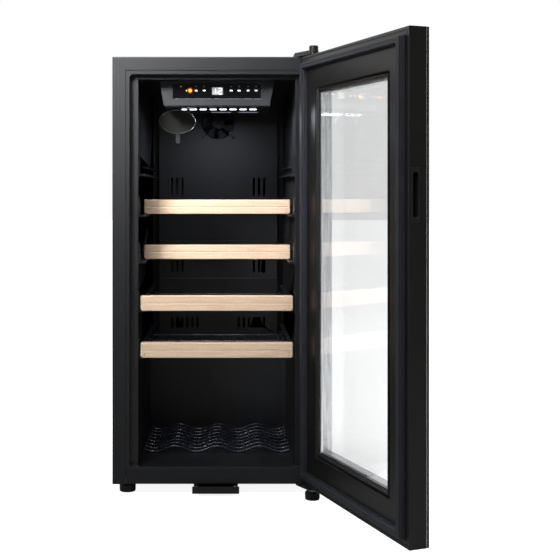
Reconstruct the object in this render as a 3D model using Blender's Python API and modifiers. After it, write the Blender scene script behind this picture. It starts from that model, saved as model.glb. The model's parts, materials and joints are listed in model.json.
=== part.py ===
"""Compact single-zone wine cooler with a glass door, as separate pieces in one frame.

Lengths are metres and +Z is up. Sizes are in the cabinet's own frame: x = 0 is the middle of the
cabinet, y = 0 the plane of its front flange with +y to the rear, and z = 0 the floor. One empty
moves that frame, so the origin of the file is the bottom centre of the object as it rests, with
the door open and two shelves drawn forward.
"""

import math

import bmesh
import bpy
from mathutils import Matrix, Vector

# Cabinet
CABINET_WIDTH = 0.395
CABINET_BOTTOM = 0.020
CABINET_TOP = 0.828
CABINET_DEPTH = 0.477
SHEET = 0.0012
GAP = 0.0003
FLANGE = 0.025
MITRE_GAP = 0.0003
RETURN_LIP = 0.014
BASE_RAIL_TOP = 0.0436

# Liner
RIM_STEP = 0.0075
OPENING_HALF = CABINET_WIDTH / 2 - FLANGE - RIM_STEP
OPENING_BOTTOM = 0.052
OPENING_DROP = 0.033
OPENING_TOP = CABINET_TOP - OPENING_DROP
OPENING_RADIUS = 0.007
REBATE_DEPTH = 0.0135
LINER_STEP = 0.0155
INNER_HALF = OPENING_HALF - LINER_STEP
INNER_FLOOR = 0.0485
CEILING_DROP = 0.0084
INNER_CEILING = OPENING_TOP - CEILING_DROP
REAR_FOAM = 0.037
INNER_BACK = CABINET_DEPTH - REAR_FOAM
HUMP_DEPTH = 0.110
HUMP_FRONT = INNER_BACK - HUMP_DEPTH
HUMP_TOP = 0.245
LINER_WALL = 0.0015
RIM_SETBACK = 0.0015
RIM_WALL = 0.002
BAY_FOAM = (0.020, 0.023)
BAY_FRONT = HUMP_FRONT + BAY_FOAM[0]
BAY_TOP = HUMP_TOP - BAY_FOAM[1]

# Shelves
SHELF_BOTTOMS = (0.529, 0.4395, 0.3467, 0.2575)
SPARE_LEVEL = 0.608
SHELF_SETBACK = 0.093
SHELF_DRAWN = (0.0, 0.0, 0.086, 0.086)
SHELF_PLAY = 0.005
SHELF_WIDTH = 2 * (INNER_HALF - SHELF_PLAY)
SHELF_FRONT_HEIGHT = 0.028
SHELF_FRONT_THICKNESS = 0.020
RACK_PLAY = 0.010
WIRE_PITCH = 0.0234
LEDGE_DROP = 0.0012
LEDGE_WIDTH = 0.012
LEDGE_THICKNESS = 0.0035
RUNNER_INSET = 0.0083
RUNNER_X = INNER_HALF - RUNNER_INSET
WIRE_COUNT = 2 * round(RUNNER_X / WIRE_PITCH)
GUIDE_RISE = 0.0135

# Duct cover and fan
DUCT_DEPTH = 0.030
DUCT_FRONT = INNER_BACK - DUCT_DEPTH
DUCT_INSET = 0.0145
DUCT_HALF = INNER_HALF - DUCT_INSET
DUCT_WALL = 0.002
FAN_DROP = 0.0556
FAN_Z = INNER_CEILING - FAN_DROP
FAN_SIZE = 0.080
FAN_OPENING = FAN_SIZE / 2 - 0.003
FAN_SCREWS = FAN_SIZE - 0.010
GUARD_RINGS = tuple(FAN_SIZE / 2 - inset for inset in (0.0035, 0.0145, 0.0255))
GUARD_WIRE = 0.0018
BLADES = 7
BLADE_PITCH = math.radians(38)
VENT_X = tuple(DUCT_HALF - inset for inset in (0.0532, 0.0414, 0.0297))
VENT_SIZE = (0.005, 0.041)
VENT_ROWS = (0.5845, 0.4095)
LOW_VENT_X = tuple(DUCT_HALF - 0.030 - 0.0115 * i for i in range(6))
LOW_VENT_ROW = 0.275
GROOVE_ROWS = (0.462, 0.377)

# Control housing under the ceiling
HOUSING_TOP_WIDTH = 0.2215
HOUSING_BOTTOM_WIDTH = 0.205
HOUSING_HEIGHT = 0.048
HOUSING_BOTTOM = INNER_CEILING - HOUSING_HEIGHT
HOUSING_FRONT = 0.040
HOUSING_REAR = 0.215
HOUSING_WALL = 0.002
WINDOW_SIZE = (0.1706, 0.0297)
WINDOW_Z = INNER_CEILING - 0.0196
WINDOW_THICKNESS = 0.003
BOARD_THICKNESS = 0.0016
LAMP_HEIGHT = 0.003
LIGHT_X = 0.002
LIGHT_PITCH = 0.0198
LIGHT_SIZE = (0.014, 0.004)
LIGHT_ROW = 0.110
STRIP_ROW = 0.184
BADGE_SIZE = (0.075, 0.049)
BADGE_AT = (-0.079, 0.100, HOUSING_BOTTOM - 0.0266)

# Door
DOOR_WIDTH = CABINET_WIDTH
DOOR_BOTTOM = CABINET_BOTTOM + 0.009
DOOR_TOP = CABINET_TOP - 0.004
DOOR_STANDOFF = 0.011
DOOR_FRAME_DEPTH = 0.031
GLASS = 0.004
DOOR_RAIL = 0.065
GASKET_BAND = (0.012, 0.026)
GASKET_PROUD = 0.0103
HANDLE_SPAN = (0.5236, 0.6103)
HANDLE_BAND = (0.0035, 0.0205)
HANDLE_DEPTH = 0.020
HINGE_INSET = 0.0166
HINGE_DEPTH = 0.018
HINGE_Y = -DOOR_STANDOFF - HINGE_DEPTH
PIN_RADIUS = 0.003
DOOR_OPEN = 110.1

# Feet, tray and the parts at the back
FOOT_LEFT_AT = (0.0265 - CABINET_WIDTH / 2, 0.030)
FOOT_RIGHT_AT = (CABINET_WIDTH / 2 - 0.019, HINGE_Y + 0.0025)
TRAY_X = -0.00175
TRAY_HALF = 0.04425
TRAY_BODY_HALF = 0.03595
TRAY_WING = 0.0038
TRAY_PLAY = 0.0006
TRAY_LENGTH = 0.120
TRAY_BOTTOM = 0.006
TRAY_TOP = 0.0175
TRAY_LIP = -0.015
REAR_REACH = CABINET_DEPTH + 0.023
COMPRESSOR_BOTTOM = CABINET_BOTTOM + 0.0093
COMPRESSOR_HEIGHT = 0.149
COMPRESSOR_AT = (0.040, (BAY_FRONT + CABINET_DEPTH) / 2)
COIL_HALF = CABINET_WIDTH / 2 - 0.0475
COIL_SPAN = (0.300, CABINET_TOP - 0.048)
COIL_PASSES = 9
COIL_BEND = 0.025

# Modelling
WELD = 1e-6
FLAT_ANGLE = math.radians(0.05)
MERGE = 1e-4
SMOOTH_ANGLE = math.radians(35)
LATHE_TURNS = {"y": (-math.pi / 2, 0, 0), "z": (0, 0, 0)}

HALF = CABINET_WIDTH / 2
HINGE_X = DOOR_WIDTH / 2 - HINGE_INSET
RACK_LENGTH = DUCT_FRONT - RACK_PLAY - SHELF_SETBACK - SHELF_FRONT_THICKNESS
DOOR_BACK = -DOOR_STANDOFF
DOOR_GLASS_BACK = DOOR_BACK - DOOR_FRAME_DEPTH
DOOR_FRONT = DOOR_GLASS_BACK - GAP - GLASS
LEDGE_TOPS = tuple(z - LEDGE_DROP for z in SHELF_BOTTOMS + (SPARE_LEVEL,))

FINISHES = {
    "powder_coated_steel_grey": ("4A4B4E", 0.35, 0.45, 0.0),
    "galvanised_steel": ("9A9C9E", 0.9, 0.42, 0.0),
    "zinc_plated_steel": ("8C8F92", 0.95, 0.35, 0.0),
    "abs_liner_graphite": ("3B3D42", 0.0, 0.5, 0.0),
    "abs_black": ("141517", 0.0, 0.4, 0.0),
    "abs_grey": ("55565A", 0.0, 0.45, 0.0),
    "polyurethane_foam": ("D9C48A", 0.0, 0.9, 0.0),
    "beech_wood": ("D6B592", 0.0, 0.55, 0.0),
    "black_coated_wire": ("15171C", 0.3, 0.35, 0.0),
    "clear_glass": ("E7EAEA", 0.0, 0.05, 0.9),
    "gloss_black_acrylic": ("08090B", 0.0, 0.08, 0.0),
    "frosted_acrylic": ("F2F6FF", 0.0, 0.4, 0.4),
    "aluminium": ("C4C6C9", 1.0, 0.3, 0.0),
    "gasket_rubber": ("3C3E46", 0.0, 0.7, 0.0),
    "black_rubber": ("1A1B1C", 0.0, 0.8, 0.0),
    "white_abs": ("D9DADB", 0.0, 0.5, 0.0),
    "circuit_board": ("1E4A34", 0.0, 0.5, 0.0),
    "acetal_white": ("E4E4E0", 0.0, 0.45, 0.0),
    "black_lacquered_steel": ("17181A", 0.5, 0.3, 0.0),
}


def clear_scene():
    for obj in list(bpy.data.objects):
        bpy.data.objects.remove(obj, do_unlink=True)


def linear(channel):
    value = int(channel, 16) / 255
    return value / 12.92 if value <= 0.04045 else ((value + 0.055) / 1.055) ** 2.4


def finish(name):
    """The Principled material of one finish, made the first time it is asked for."""
    if name in bpy.data.materials:
        return bpy.data.materials[name]
    colour, metallic, roughness, transmission = FINISHES[name]
    material = bpy.data.materials.new(name)
    material.use_nodes = True
    shader = material.node_tree.nodes["Principled BSDF"].inputs
    rgb = [linear(colour[i : i + 2]) for i in (0, 2, 4)]
    shader["Base Color"].default_value = (*rgb, 1.0)
    shader["Metallic"].default_value = metallic
    shader["Roughness"].default_value = roughness
    shader["Transmission Weight"].default_value = transmission
    material.diffuse_color = (*rgb, 1.0 - 0.7 * transmission)
    return material


def rounded(x0, x1, z0, z1, radius=0.0, steps=3):
    """A rectangle's outline, with its corners rounded by this radius."""
    if radius <= 0:
        return [(x0, z0), (x1, z0), (x1, z1), (x0, z1)]
    points = []
    middles = (
        (x1 - radius, z0 + radius, -90),
        (x1 - radius, z1 - radius, 0),
        (x0 + radius, z1 - radius, 90),
        (x0 + radius, z0 + radius, 180),
    )
    for cx, cz, start in middles:
        for i in range(steps + 1):
            a = math.radians(start + 90 * i / steps)
            points.append((cx + radius * math.cos(a), cz + radius * math.sin(a)))
    return points


def circle(cx, cy, radius, steps):
    turn = 2 * math.pi / steps
    return [
        (cx + radius * math.cos(turn * i), cy + radius * math.sin(turn * i))
        for i in range(steps)
    ]


def as_mesh(curve):
    """The mesh of a curve object, with its loose caps welded on. The curve is removed."""
    scene = bpy.context.scene.collection
    scene.objects.link(curve)
    evaluated = curve.evaluated_get(bpy.context.evaluated_depsgraph_get())
    mesh = bpy.data.meshes.new_from_object(evaluated)
    bpy.data.objects.remove(curve)
    shape = bmesh.new()
    shape.from_mesh(mesh)
    bmesh.ops.remove_doubles(shape, verts=shape.verts, dist=WELD)
    bmesh.ops.dissolve_limit(
        shape, angle_limit=FLAT_ANGLE, verts=shape.verts, edges=shape.edges
    )
    bmesh.ops.recalc_face_normals(shape, faces=shape.faces)
    shape.to_mesh(mesh)
    shape.free()
    return mesh


def empty(name, parent, location, turn=0.0):
    obj = bpy.data.objects.new(name, None)
    obj.parent = parent
    obj.location = location
    obj.rotation_euler = (0, 0, turn)
    bpy.context.scene.collection.objects.link(obj)
    return obj


class Shop:
    """Makes solids in one assembly's frame: a parent empty, and where that empty stands."""

    def __init__(self, parent, offset, nodes, helpers):
        self.parent = parent
        self.offset = Vector(offset)
        self.nodes = nodes
        self.helpers = helpers

    def moving(self, name, at, turn=0.0):
        """A shop for a piece that moves: its empty stands at this place in the same frame."""
        local = Vector(at) - self.offset
        return Shop(empty(name, self.parent, local, turn), at, self.nodes, self.helpers)

    def place(self, name, mesh, look, at=None, turn=(0, 0, 0)):
        """Puts a mesh in the scene. Without a finish it is a helper: hidden, drawn as wire."""
        obj = bpy.data.objects.new(name, mesh)
        obj.parent = self.parent
        obj.rotation_euler = turn
        if at is not None:
            obj.location = Vector(at) - self.offset
        if look is None:
            obj.hide_render = True
            obj.display_type = "WIRE"
            self.helpers.objects.link(obj)
        else:
            mesh.materials.append(finish(look))
            self.nodes.objects.link(obj)
        return obj

    def boxes(self, name, spans, look=None):
        """Boxes from low to high corners, which don't touch, in one mesh."""
        shape = bmesh.new()
        for low, high in spans:
            for vert in bmesh.ops.create_cube(shape, size=1)["verts"]:
                corner = [b if c > 0 else a for c, a, b in zip(vert.co, low, high)]
                vert.co = Vector(corner) - self.offset
        mesh = bpy.data.meshes.new(name)
        shape.to_mesh(mesh)
        shape.free()
        return self.place(name, mesh, look)

    def box(self, name, low, high, look=None):
        return self.boxes(name, [(low, high)], look)

    def plate(self, name, outlines, low, high, axis, look=None):
        """A flat outline, with any inner ones as holes, as thick as low to high on the axis."""
        curve = bpy.data.curves.new(name, "CURVE")
        curve.dimensions = "2D"
        curve.fill_mode = "BOTH"
        curve.extrude = (high - low) / 2
        for outline in outlines:
            spline = curve.splines.new("POLY")
            spline.points.add(len(outline) - 1)
            for point, (a, b) in zip(spline.points, outline):
                point.co = (a, b, 0, 1)
            spline.use_cyclic_u = True
        mesh = as_mesh(bpy.data.objects.new(name, curve))
        for vert in mesh.vertices:
            a, b, side = vert.co
            level = high if side > 0 else low
            corner = {"x": (level, a, b), "y": (a, level, b), "z": (a, b, level)}[axis]
            vert.co = Vector(corner) - self.offset
        if axis == "y":
            mesh.flip_normals()
        if max(map(len, outlines)) > 12:
            mesh.shade_smooth()
            mesh.set_sharp_from_angle(angle=SMOOTH_ANGLE)
        return self.place(name, mesh, look)

    def prism(self, name, outline, low, high, axis, look=None):
        return self.plate(name, [outline], low, high, axis, look)

    def lathe(self, name, profile, centre, axis, steps, look=None):
        """A profile of (radius, height) points, bottom to top outside, turned on an axis."""
        points = [(radius, 0, height) for radius, height in reversed(profile)]
        count = len(points)
        edges = [(i, i + 1) for i in range(count - 1)]
        if profile[0][0] > 0:
            edges.append((count - 1, 0))
        mesh = bpy.data.meshes.new(name)
        mesh.from_pydata(points, edges, [])
        obj = self.place(name, mesh, look, centre, LATHE_TURNS[axis])
        screw = obj.modifiers.new("turn", "SCREW")
        screw.steps = steps
        screw.render_steps = steps
        screw.use_merge_vertices = True
        screw.merge_threshold = MERGE
        screw.use_smooth_shade = True
        return obj

    def sweep(self, name, path, radius, sides, look=None):
        """A round bar along a path of points, with flat ends."""
        curve = bpy.data.curves.new(name, "CURVE")
        curve.dimensions = "3D"
        curve.bevel_depth = radius
        curve.bevel_resolution = (sides - 4) // 2
        curve.use_fill_caps = True
        spline = curve.splines.new("POLY")
        spline.points.add(len(path) - 1)
        for point, place in zip(spline.points, path):
            point.co = (*(Vector(place) - self.offset), 1)
        mesh = as_mesh(bpy.data.objects.new(name, curve))
        mesh.shade_smooth()
        mesh.set_sharp_from_angle(angle=SMOOTH_ANGLE)
        return self.place(name, mesh, look)


def boolean(target, other, operation):
    modifier = target.modifiers.new(operation.lower() + "_" + other.name, "BOOLEAN")
    modifier.operation = operation
    modifier.solver = "EXACT"
    modifier.object = other
    return target


def cut(target, *others):
    for other in others:
        boolean(target, other, "DIFFERENCE")
    return target


def fuse(target, *others):
    for other in others:
        boolean(target, other, "UNION")
    return target


def mirrored(spans):
    """These box spans, and each one's mirror image across x = 0."""
    flipped = [((-b[0], a[1], a[2]), (-a[0], b[1], b[2])) for a, b in spans]
    return list(spans) + flipped


def around(cx, cy, radius, start, end, steps=10):
    """Points on an arc, in degrees."""
    angles = [math.radians(start + (end - start) * i / steps) for i in range(steps + 1)]
    return [(cx + radius * math.cos(a), cy + radius * math.sin(a)) for a in angles]


# --------------------------------------------------------------------------- cabinet


def side_panel(shop, name, sign):
    top = CABINET_TOP - SHEET - GAP
    panel = shop.box(
        name,
        (min(sign * HALF, sign * (HALF - SHEET)), 0, CABINET_BOTTOM),
        (max(sign * HALF, sign * (HALF - SHEET)), CABINET_DEPTH, top),
        "powder_coated_steel_grey",
    )
    inner = HALF - FLANGE
    outline = [
        (sign * HALF, CABINET_BOTTOM),
        (sign * inner, CABINET_BOTTOM),
        (sign * inner, CABINET_TOP - FLANGE - MITRE_GAP),
        (sign * (HALF - SHEET - GAP + MITRE_GAP), top),
        (sign * HALF, top),
    ]
    flange = shop.prism(name + "_flange", outline, 0, SHEET, "y")
    edges = sorted((sign * HALF, sign * (HALF - RETURN_LIP)))
    lip = shop.box(
        name + "_return",
        (edges[0], CABINET_DEPTH - SHEET, CABINET_BOTTOM),
        (edges[1], CABINET_DEPTH, top),
    )
    return fuse(panel, flange, lip)


def top_panel(shop):
    panel = shop.box(
        "top_panel",
        (-HALF, SHEET / 2, CABINET_TOP - SHEET),
        (HALF, CABINET_DEPTH, CABINET_TOP),
        "powder_coated_steel_grey",
    )
    wide, low = HALF - MITRE_GAP, HALF - FLANGE - MITRE_GAP
    outline = [
        (-wide, CABINET_TOP),
        (wide, CABINET_TOP),
        (low, CABINET_TOP - FLANGE),
        (-low, CABINET_TOP - FLANGE),
    ]
    flange = shop.prism("top_panel_flange", outline, 0, SHEET, "y")
    reach = HALF - RETURN_LIP - GAP
    lip = shop.box(
        "top_panel_return",
        (-reach, CABINET_DEPTH - SHEET, CABINET_TOP - RETURN_LIP),
        (reach, CABINET_DEPTH, CABINET_TOP - SHEET / 2),
    )
    return fuse(panel, flange, lip)


def rear_panel(shop):
    inner = HALF - SHEET - GAP
    back = CABINET_DEPTH - SHEET - GAP
    return shop.box(
        "rear_panel",
        (-inner, back - SHEET, BAY_TOP + SHEET + GAP),
        (inner, back, CABINET_TOP - SHEET - GAP),
        "galvanised_steel",
    )


def base_pan(shop):
    inner = HALF - SHEET - GAP
    y0, y2 = 0.0136, CABINET_DEPTH - SHEET - GAP
    outline = [
        (y0, CABINET_BOTTOM),
        (BAY_FRONT + SHEET, CABINET_BOTTOM),
        (BAY_FRONT + SHEET, BAY_TOP),
        (y2, BAY_TOP),
        (y2, BAY_TOP + SHEET),
        (BAY_FRONT, BAY_TOP + SHEET),
        (BAY_FRONT, CABINET_BOTTOM + SHEET),
        (y0, CABINET_BOTTOM + SHEET),
    ]
    pan = shop.prism("base_pan", outline, -inner, inner, "x", "galvanised_steel")
    stud = circle(*FOOT_LEFT_AT, 0.0044, 16)
    hole = shop.prism("base_pan_stud_hole", stud, 0.010, 0.030, "z")
    return cut(pan, hole)


def front_base_rail(shop):
    reach = HALF - FLANGE - 0.0008
    rail = shop.box(
        "front_base_rail",
        (-reach, 0, CABINET_BOTTOM),
        (reach, SHEET, BASE_RAIL_TOP),
        "powder_coated_steel_grey",
    )
    lip = shop.box(
        "front_base_rail_lip",
        (-reach, SHEET / 2, CABINET_BOTTOM),
        (reach, 0.0133, CABINET_BOTTOM + SHEET),
    )
    return fuse(rail, lip)


def cavity_profile(grow, front):
    """The side view of the cooled space, with the step over the compressor."""
    return [
        (front, INNER_FLOOR - grow),
        (HUMP_FRONT + grow, INNER_FLOOR - grow),
        (HUMP_FRONT + grow, HUMP_TOP - grow),
        (INNER_BACK + grow, HUMP_TOP - grow),
        (INNER_BACK + grow, INNER_CEILING + grow),
        (front, INNER_CEILING + grow),
    ]


def opening_outline(grow):
    return rounded(
        -OPENING_HALF - grow,
        OPENING_HALF + grow,
        OPENING_BOTTOM - grow,
        OPENING_TOP + grow,
        OPENING_RADIUS + grow,
    )


def liner_ribs(shop):
    """Ledges that carry the racks, guides that stop them tipping, and the pads in front."""
    wall, back = INNER_HALF + LINER_WALL / 2, DUCT_FRONT - 0.005
    ledges, guides, pads = [], [], []
    guide_front = SHELF_SETBACK + SHELF_FRONT_THICKNESS + 0.004
    for z in LEDGE_TOPS:
        ledges.append(
            ((INNER_HALF - LEDGE_WIDTH, 0.030, z - LEDGE_THICKNESS), (wall, back, z))
        )
        low = z + GUIDE_RISE
        guides.append(((INNER_HALF - 0.009, guide_front, low), (wall, back, low + 0.0025)))
        pads.append(((INNER_HALF - 0.002, 0.019, z - 0.005), (wall, 0.0305, z + 0.036)))
    return (
        shop.boxes("liner_ledges", mirrored(ledges)),
        shop.boxes("liner_guides", mirrored(guides)),
        shop.boxes("liner_pads", mirrored(pads)),
    )


def inner_liner(shop):
    rim_half = HALF - 0.0095
    rim = rounded(-rim_half, rim_half, 0.034, CABINET_TOP - 0.0095)
    liner = shop.prism(
        "inner_liner", rim, RIM_SETBACK, RIM_SETBACK + RIM_WALL, "y", "abs_liner_graphite"
    )
    rebate = shop.prism(
        "liner_rebate_outer",
        opening_outline(LINER_WALL),
        RIM_SETBACK + 0.0005,
        REBATE_DEPTH + LINER_WALL,
        "y",
    )
    main = shop.prism(
        "liner_main_outer",
        cavity_profile(LINER_WALL, 0.0025),
        -INNER_HALF - LINER_WALL,
        INNER_HALF + LINER_WALL,
        "x",
    )
    opening = shop.prism("liner_opening", opening_outline(0), -0.01, REBATE_DEPTH, "y")
    cavity = shop.prism(
        "liner_cavity", cavity_profile(0, 0.006), -INNER_HALF, INNER_HALF, "x"
    )
    fuse(liner, rebate, main)
    cut(liner, opening, cavity)
    return fuse(liner, *liner_ribs(shop))


def insulation_foam(shop):
    inner = HALF - SHEET - 2 * GAP
    front, low = RIM_SETBACK + RIM_WALL + GAP, CABINET_BOTTOM + SHEET + GAP
    back, high = CABINET_DEPTH - 2 * SHEET - 2 * GAP, CABINET_TOP - SHEET - 2 * GAP
    outline = [
        (front, low),
        (BAY_FRONT - GAP, low),
        (BAY_FRONT - GAP, BAY_TOP + SHEET + GAP),
        (back, BAY_TOP + SHEET + GAP),
        (back, high),
        (front, high),
    ]
    foam = shop.prism("insulation_foam", outline, -inner, inner, "x", "polyurethane_foam")
    spare = LINER_WALL + GAP
    rebate = shop.prism(
        "foam_rebate_space", opening_outline(spare), -0.01, REBATE_DEPTH + spare, "y"
    )
    main = shop.prism(
        "foam_main_space",
        cavity_profile(spare, -0.01),
        -INNER_HALF - spare,
        INNER_HALF + spare,
        "x",
    )
    return cut(foam, rebate, main)


# ------------------------------------------------------------------- inside the cabinet


def duct_cover(shop):
    low, high = HUMP_TOP + 0.0005, INNER_CEILING - 0.0006
    back = INNER_BACK - GAP
    cover = shop.box(
        "duct_cover", (-DUCT_HALF, DUCT_FRONT, low), (DUCT_HALF, back, high), "abs_liner_graphite"
    )
    hollow = shop.box(
        "duct_hollow",
        (-DUCT_HALF + DUCT_WALL, DUCT_FRONT + DUCT_WALL, low + DUCT_WALL),
        (DUCT_HALF - DUCT_WALL, back + 0.01, high - DUCT_WALL),
    )
    mouth = shop.prism(
        "duct_fan_opening",
        circle(0, FAN_Z, FAN_OPENING, 32),
        DUCT_FRONT - 0.005,
        DUCT_FRONT + 0.004,
        "y",
    )
    w, h = VENT_SIZE
    y0, y1 = DUCT_FRONT - 0.004, DUCT_FRONT + DUCT_WALL + 0.002
    slots = [
        ((x - w / 2, y0, z - h / 2), (x + w / 2, y1, z + h / 2))
        for z in VENT_ROWS
        for x in VENT_X
    ]
    slots += [
        ((x - w / 2, y0, LOW_VENT_ROW - 0.012), (x + w / 2, y1, LOW_VENT_ROW + 0.012))
        for x in LOW_VENT_X
    ]
    vents = shop.boxes("duct_vents", mirrored(slots))
    lines = [
        ((-DUCT_HALF - 0.01, y0, z - 0.001), (DUCT_HALF + 0.01, DUCT_FRONT + 0.0008, z + 0.001))
        for z in GROOVE_ROWS
    ]
    grooves = shop.boxes("duct_grooves", lines)
    return cut(cover, hollow, mouth, vents, grooves)


def evaporator(shop):
    back = INNER_BACK - GAP
    wide, low, high = DUCT_HALF - 0.015, HUMP_TOP + 0.055, FAN_Z - FAN_SIZE / 2 - 0.031
    plate = shop.box("evaporator", (-wide, back - 0.0015, low), (wide, back, high), "aluminium")
    ribs = [
        ((x - 0.0010, DUCT_FRONT + 0.010, low + 0.010), (x + 0.0010, back - 0.0008, high - 0.010))
        for x in (-0.108 + 0.024 * i for i in range(10))
    ]
    return fuse(plate, shop.boxes("evaporator_fins", ribs))


def fan_frame(shop):
    y0 = DUCT_FRONT + DUCT_WALL + GAP
    y1 = y0 + 0.021
    half = FAN_SIZE / 2
    frame = shop.prism(
        "fan_frame",
        rounded(-half, half, FAN_Z - half, FAN_Z + half, 0.005, 2),
        y0,
        y1,
        "y",
        "abs_black",
    )
    bore = shop.prism("fan_bore", circle(0, FAN_Z, half - 0.0015, 32), y0 - 0.01, y1 + 0.01, "y")
    struts = shop.box(
        "fan_strut_a", (-half + 0.001, y1 - 0.003, FAN_Z - 0.002), (half - 0.001, y1, FAN_Z + 0.002)
    )
    across = shop.box(
        "fan_strut_b", (-0.002, y1 - 0.003, FAN_Z - half + 0.001), (0.002, y1, FAN_Z + half - 0.001)
    )
    hub = shop.prism("fan_motor", circle(0, FAN_Z, 0.015, 20), y1 - 0.0045, y1, "y")
    shaft = shop.prism("fan_shaft", circle(0, FAN_Z, 0.0015, 12), y0 + 0.005, y1 - 0.002, "y")
    cut(frame, bore)
    return fuse(frame, struts, across, hub, shaft)


def fan_blades(shop, y0, y1):
    """Seven pitched blades, which stop inside the hub without meeting each other."""
    inner, outer = 0.0125, FAN_SIZE / 2 - 0.0042
    pitch = Matrix.Rotation(BLADE_PITCH, 4, "X")
    slab = Matrix.Diagonal((outer - inner, 0.0015, 0.0125, 1))
    shape = bmesh.new()
    for k in range(BLADES):
        turn = Matrix.Rotation(2 * math.pi * k / BLADES, 4, "Y")
        reach = Matrix.Translation(((inner + outer) / 2, 0, 0))
        bmesh.ops.create_cube(shape, size=1, matrix=turn @ reach @ pitch @ slab)
    mesh = bpy.data.meshes.new("fan_blades")
    shape.to_mesh(mesh)
    shape.free()
    return shop.place("fan_blades", mesh, None, (0, (y0 + y1) / 2, FAN_Z))


def fan_rotor(cabinet):
    shop = cabinet.moving("fan_axis", (0, DUCT_FRONT, FAN_Z))
    y0 = DUCT_FRONT + DUCT_WALL + GAP + 0.002
    y1 = y0 + 0.014
    rotor = shop.prism("fan_rotor", circle(0, FAN_Z, 0.0145, 24), y0, y1, "y", "abs_black")
    bore = shop.prism("fan_rotor_bore", circle(0, FAN_Z, 0.0019, 12), y0 + 0.0022, y1 + 0.01, "y")
    fuse(rotor, fan_blades(shop, y0, y1))
    return cut(rotor, bore)


def fan_guard(shop):
    y0, y1 = DUCT_FRONT - 0.0072, DUCT_FRONT - 0.0054
    half = GUARD_WIRE / 2

    def loop(radius):
        return [
            (radius - half, y0),
            (radius + half, y0),
            (radius + half, y1),
            (radius - half, y1),
        ]

    middle = (0, 0, FAN_Z)
    guard = shop.lathe("fan_guard", loop(GUARD_RINGS[0]), middle, "y", 24, "black_coated_wire")
    inner = [
        shop.lathe(f"fan_guard_ring_{i}", loop(radius), middle, "y", 16)
        for i, radius in enumerate(GUARD_RINGS[1:])
    ]
    arms = []
    reach = FAN_SCREWS / 2
    half = GUARD_WIRE / 2 - 0.0002
    for i, sign in enumerate((1, -1)):
        outline = [
            (-reach - half, FAN_Z - sign * (reach - half)),
            (-reach + half, FAN_Z - sign * (reach + half)),
            (reach + half, FAN_Z + sign * (reach - half)),
            (reach - half, FAN_Z + sign * (reach + half)),
        ]
        arms.append(shop.prism("fan_guard_arm_" + str(i), outline, y0 + 0.0001, y1 - 0.0001, "y"))
    feet = []
    for i, (sx, sz) in enumerate(((1, 1), (1, -1), (-1, 1), (-1, -1))):
        at = circle(sx * reach, FAN_Z + sz * reach, 0.0032, 10)
        feet.append(shop.prism("fan_guard_foot_" + str(i), at, y0 - 0.0003, DUCT_FRONT - GAP, "y"))
    return fuse(guard, *inner, *arms, *feet)


def housing_outline(inset, top):
    """The trapezoid of the control housing, seen from the front."""
    w1, w0 = HOUSING_TOP_WIDTH / 2 - inset, HOUSING_BOTTOM_WIDTH / 2 - inset
    low = HOUSING_BOTTOM + inset
    return [(-w0, low), (w0, low), (w1, top), (-w1, top)]


def light_spans(z0, z1, grow=0.0):
    """The light openings in the underside: a row of eight, and two long ones behind."""
    w, d = LIGHT_SIZE[0] / 2 + grow, LIGHT_SIZE[1] / 2 + grow
    spans = []
    for i in range(8):
        x = LIGHT_X + LIGHT_PITCH * (i - 3.5)
        spans.append(((x - w, LIGHT_ROW - d, z0), (x + w, LIGHT_ROW + d, z1)))
    for x0, x1 in ((-0.013, 0.029), (0.043, 0.084)):
        spans.append(((x0 - grow, STRIP_ROW - d, z0), (x1 + grow, STRIP_ROW + d, z1)))
    return spans


def control_housing(shop):
    top = INNER_CEILING - GAP
    housing = shop.prism(
        "control_housing", housing_outline(0, top), HOUSING_FRONT, HOUSING_REAR, "y", "abs_grey"
    )
    hollow = shop.prism(
        "housing_hollow",
        housing_outline(HOUSING_WALL, top + 0.01),
        HOUSING_FRONT + HOUSING_WALL + 0.001,
        HOUSING_REAR - HOUSING_WALL,
        "y",
    )
    w, h = WINDOW_SIZE[0] / 2, WINDOW_SIZE[1] / 2
    window = shop.box(
        "housing_window",
        (-w, HOUSING_FRONT - 0.005, WINDOW_Z - h),
        (w, HOUSING_FRONT + 0.006, WINDOW_Z + h),
    )
    slots = shop.boxes("housing_light_slots", light_spans(HOUSING_BOTTOM - 0.01, HOUSING_BOTTOM + 0.004))
    return cut(housing, hollow, window, slots)


def display_and_board(shop):
    """The glossy window in the front opening, and the circuit board behind it."""
    w, h = WINDOW_SIZE[0] / 2 - GAP, WINDOW_SIZE[1] / 2 - GAP
    y0 = HOUSING_FRONT + GAP
    y1 = y0 + WINDOW_THICKNESS
    low, high = (-w, y0, WINDOW_Z - h), (w, y1, WINDOW_Z + h)
    shop.box("display_panel", low, high, "gloss_black_acrylic")
    y2 = y1 + GAP
    y3 = y2 + BOARD_THICKNESS
    w, h = w - 0.005, h - 0.0015
    low, high = (-w, y2, WINDOW_Z - h), (w, y3, WINDOW_Z + h)
    board = shop.box("control_board", low, high, "circuit_board")
    chips = [
        ((x - dx, y3 - 0.0005, WINDOW_Z - 0.007), (x + dx, y3 + tall, WINDOW_Z + 0.005))
        for x, dx, tall in ((-0.050, 0.010, 0.0075), (0.0, 0.012, 0.0025), (0.054, 0.009, 0.0065))
    ]
    fuse(board, shop.boxes("control_board_chips", chips))


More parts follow.
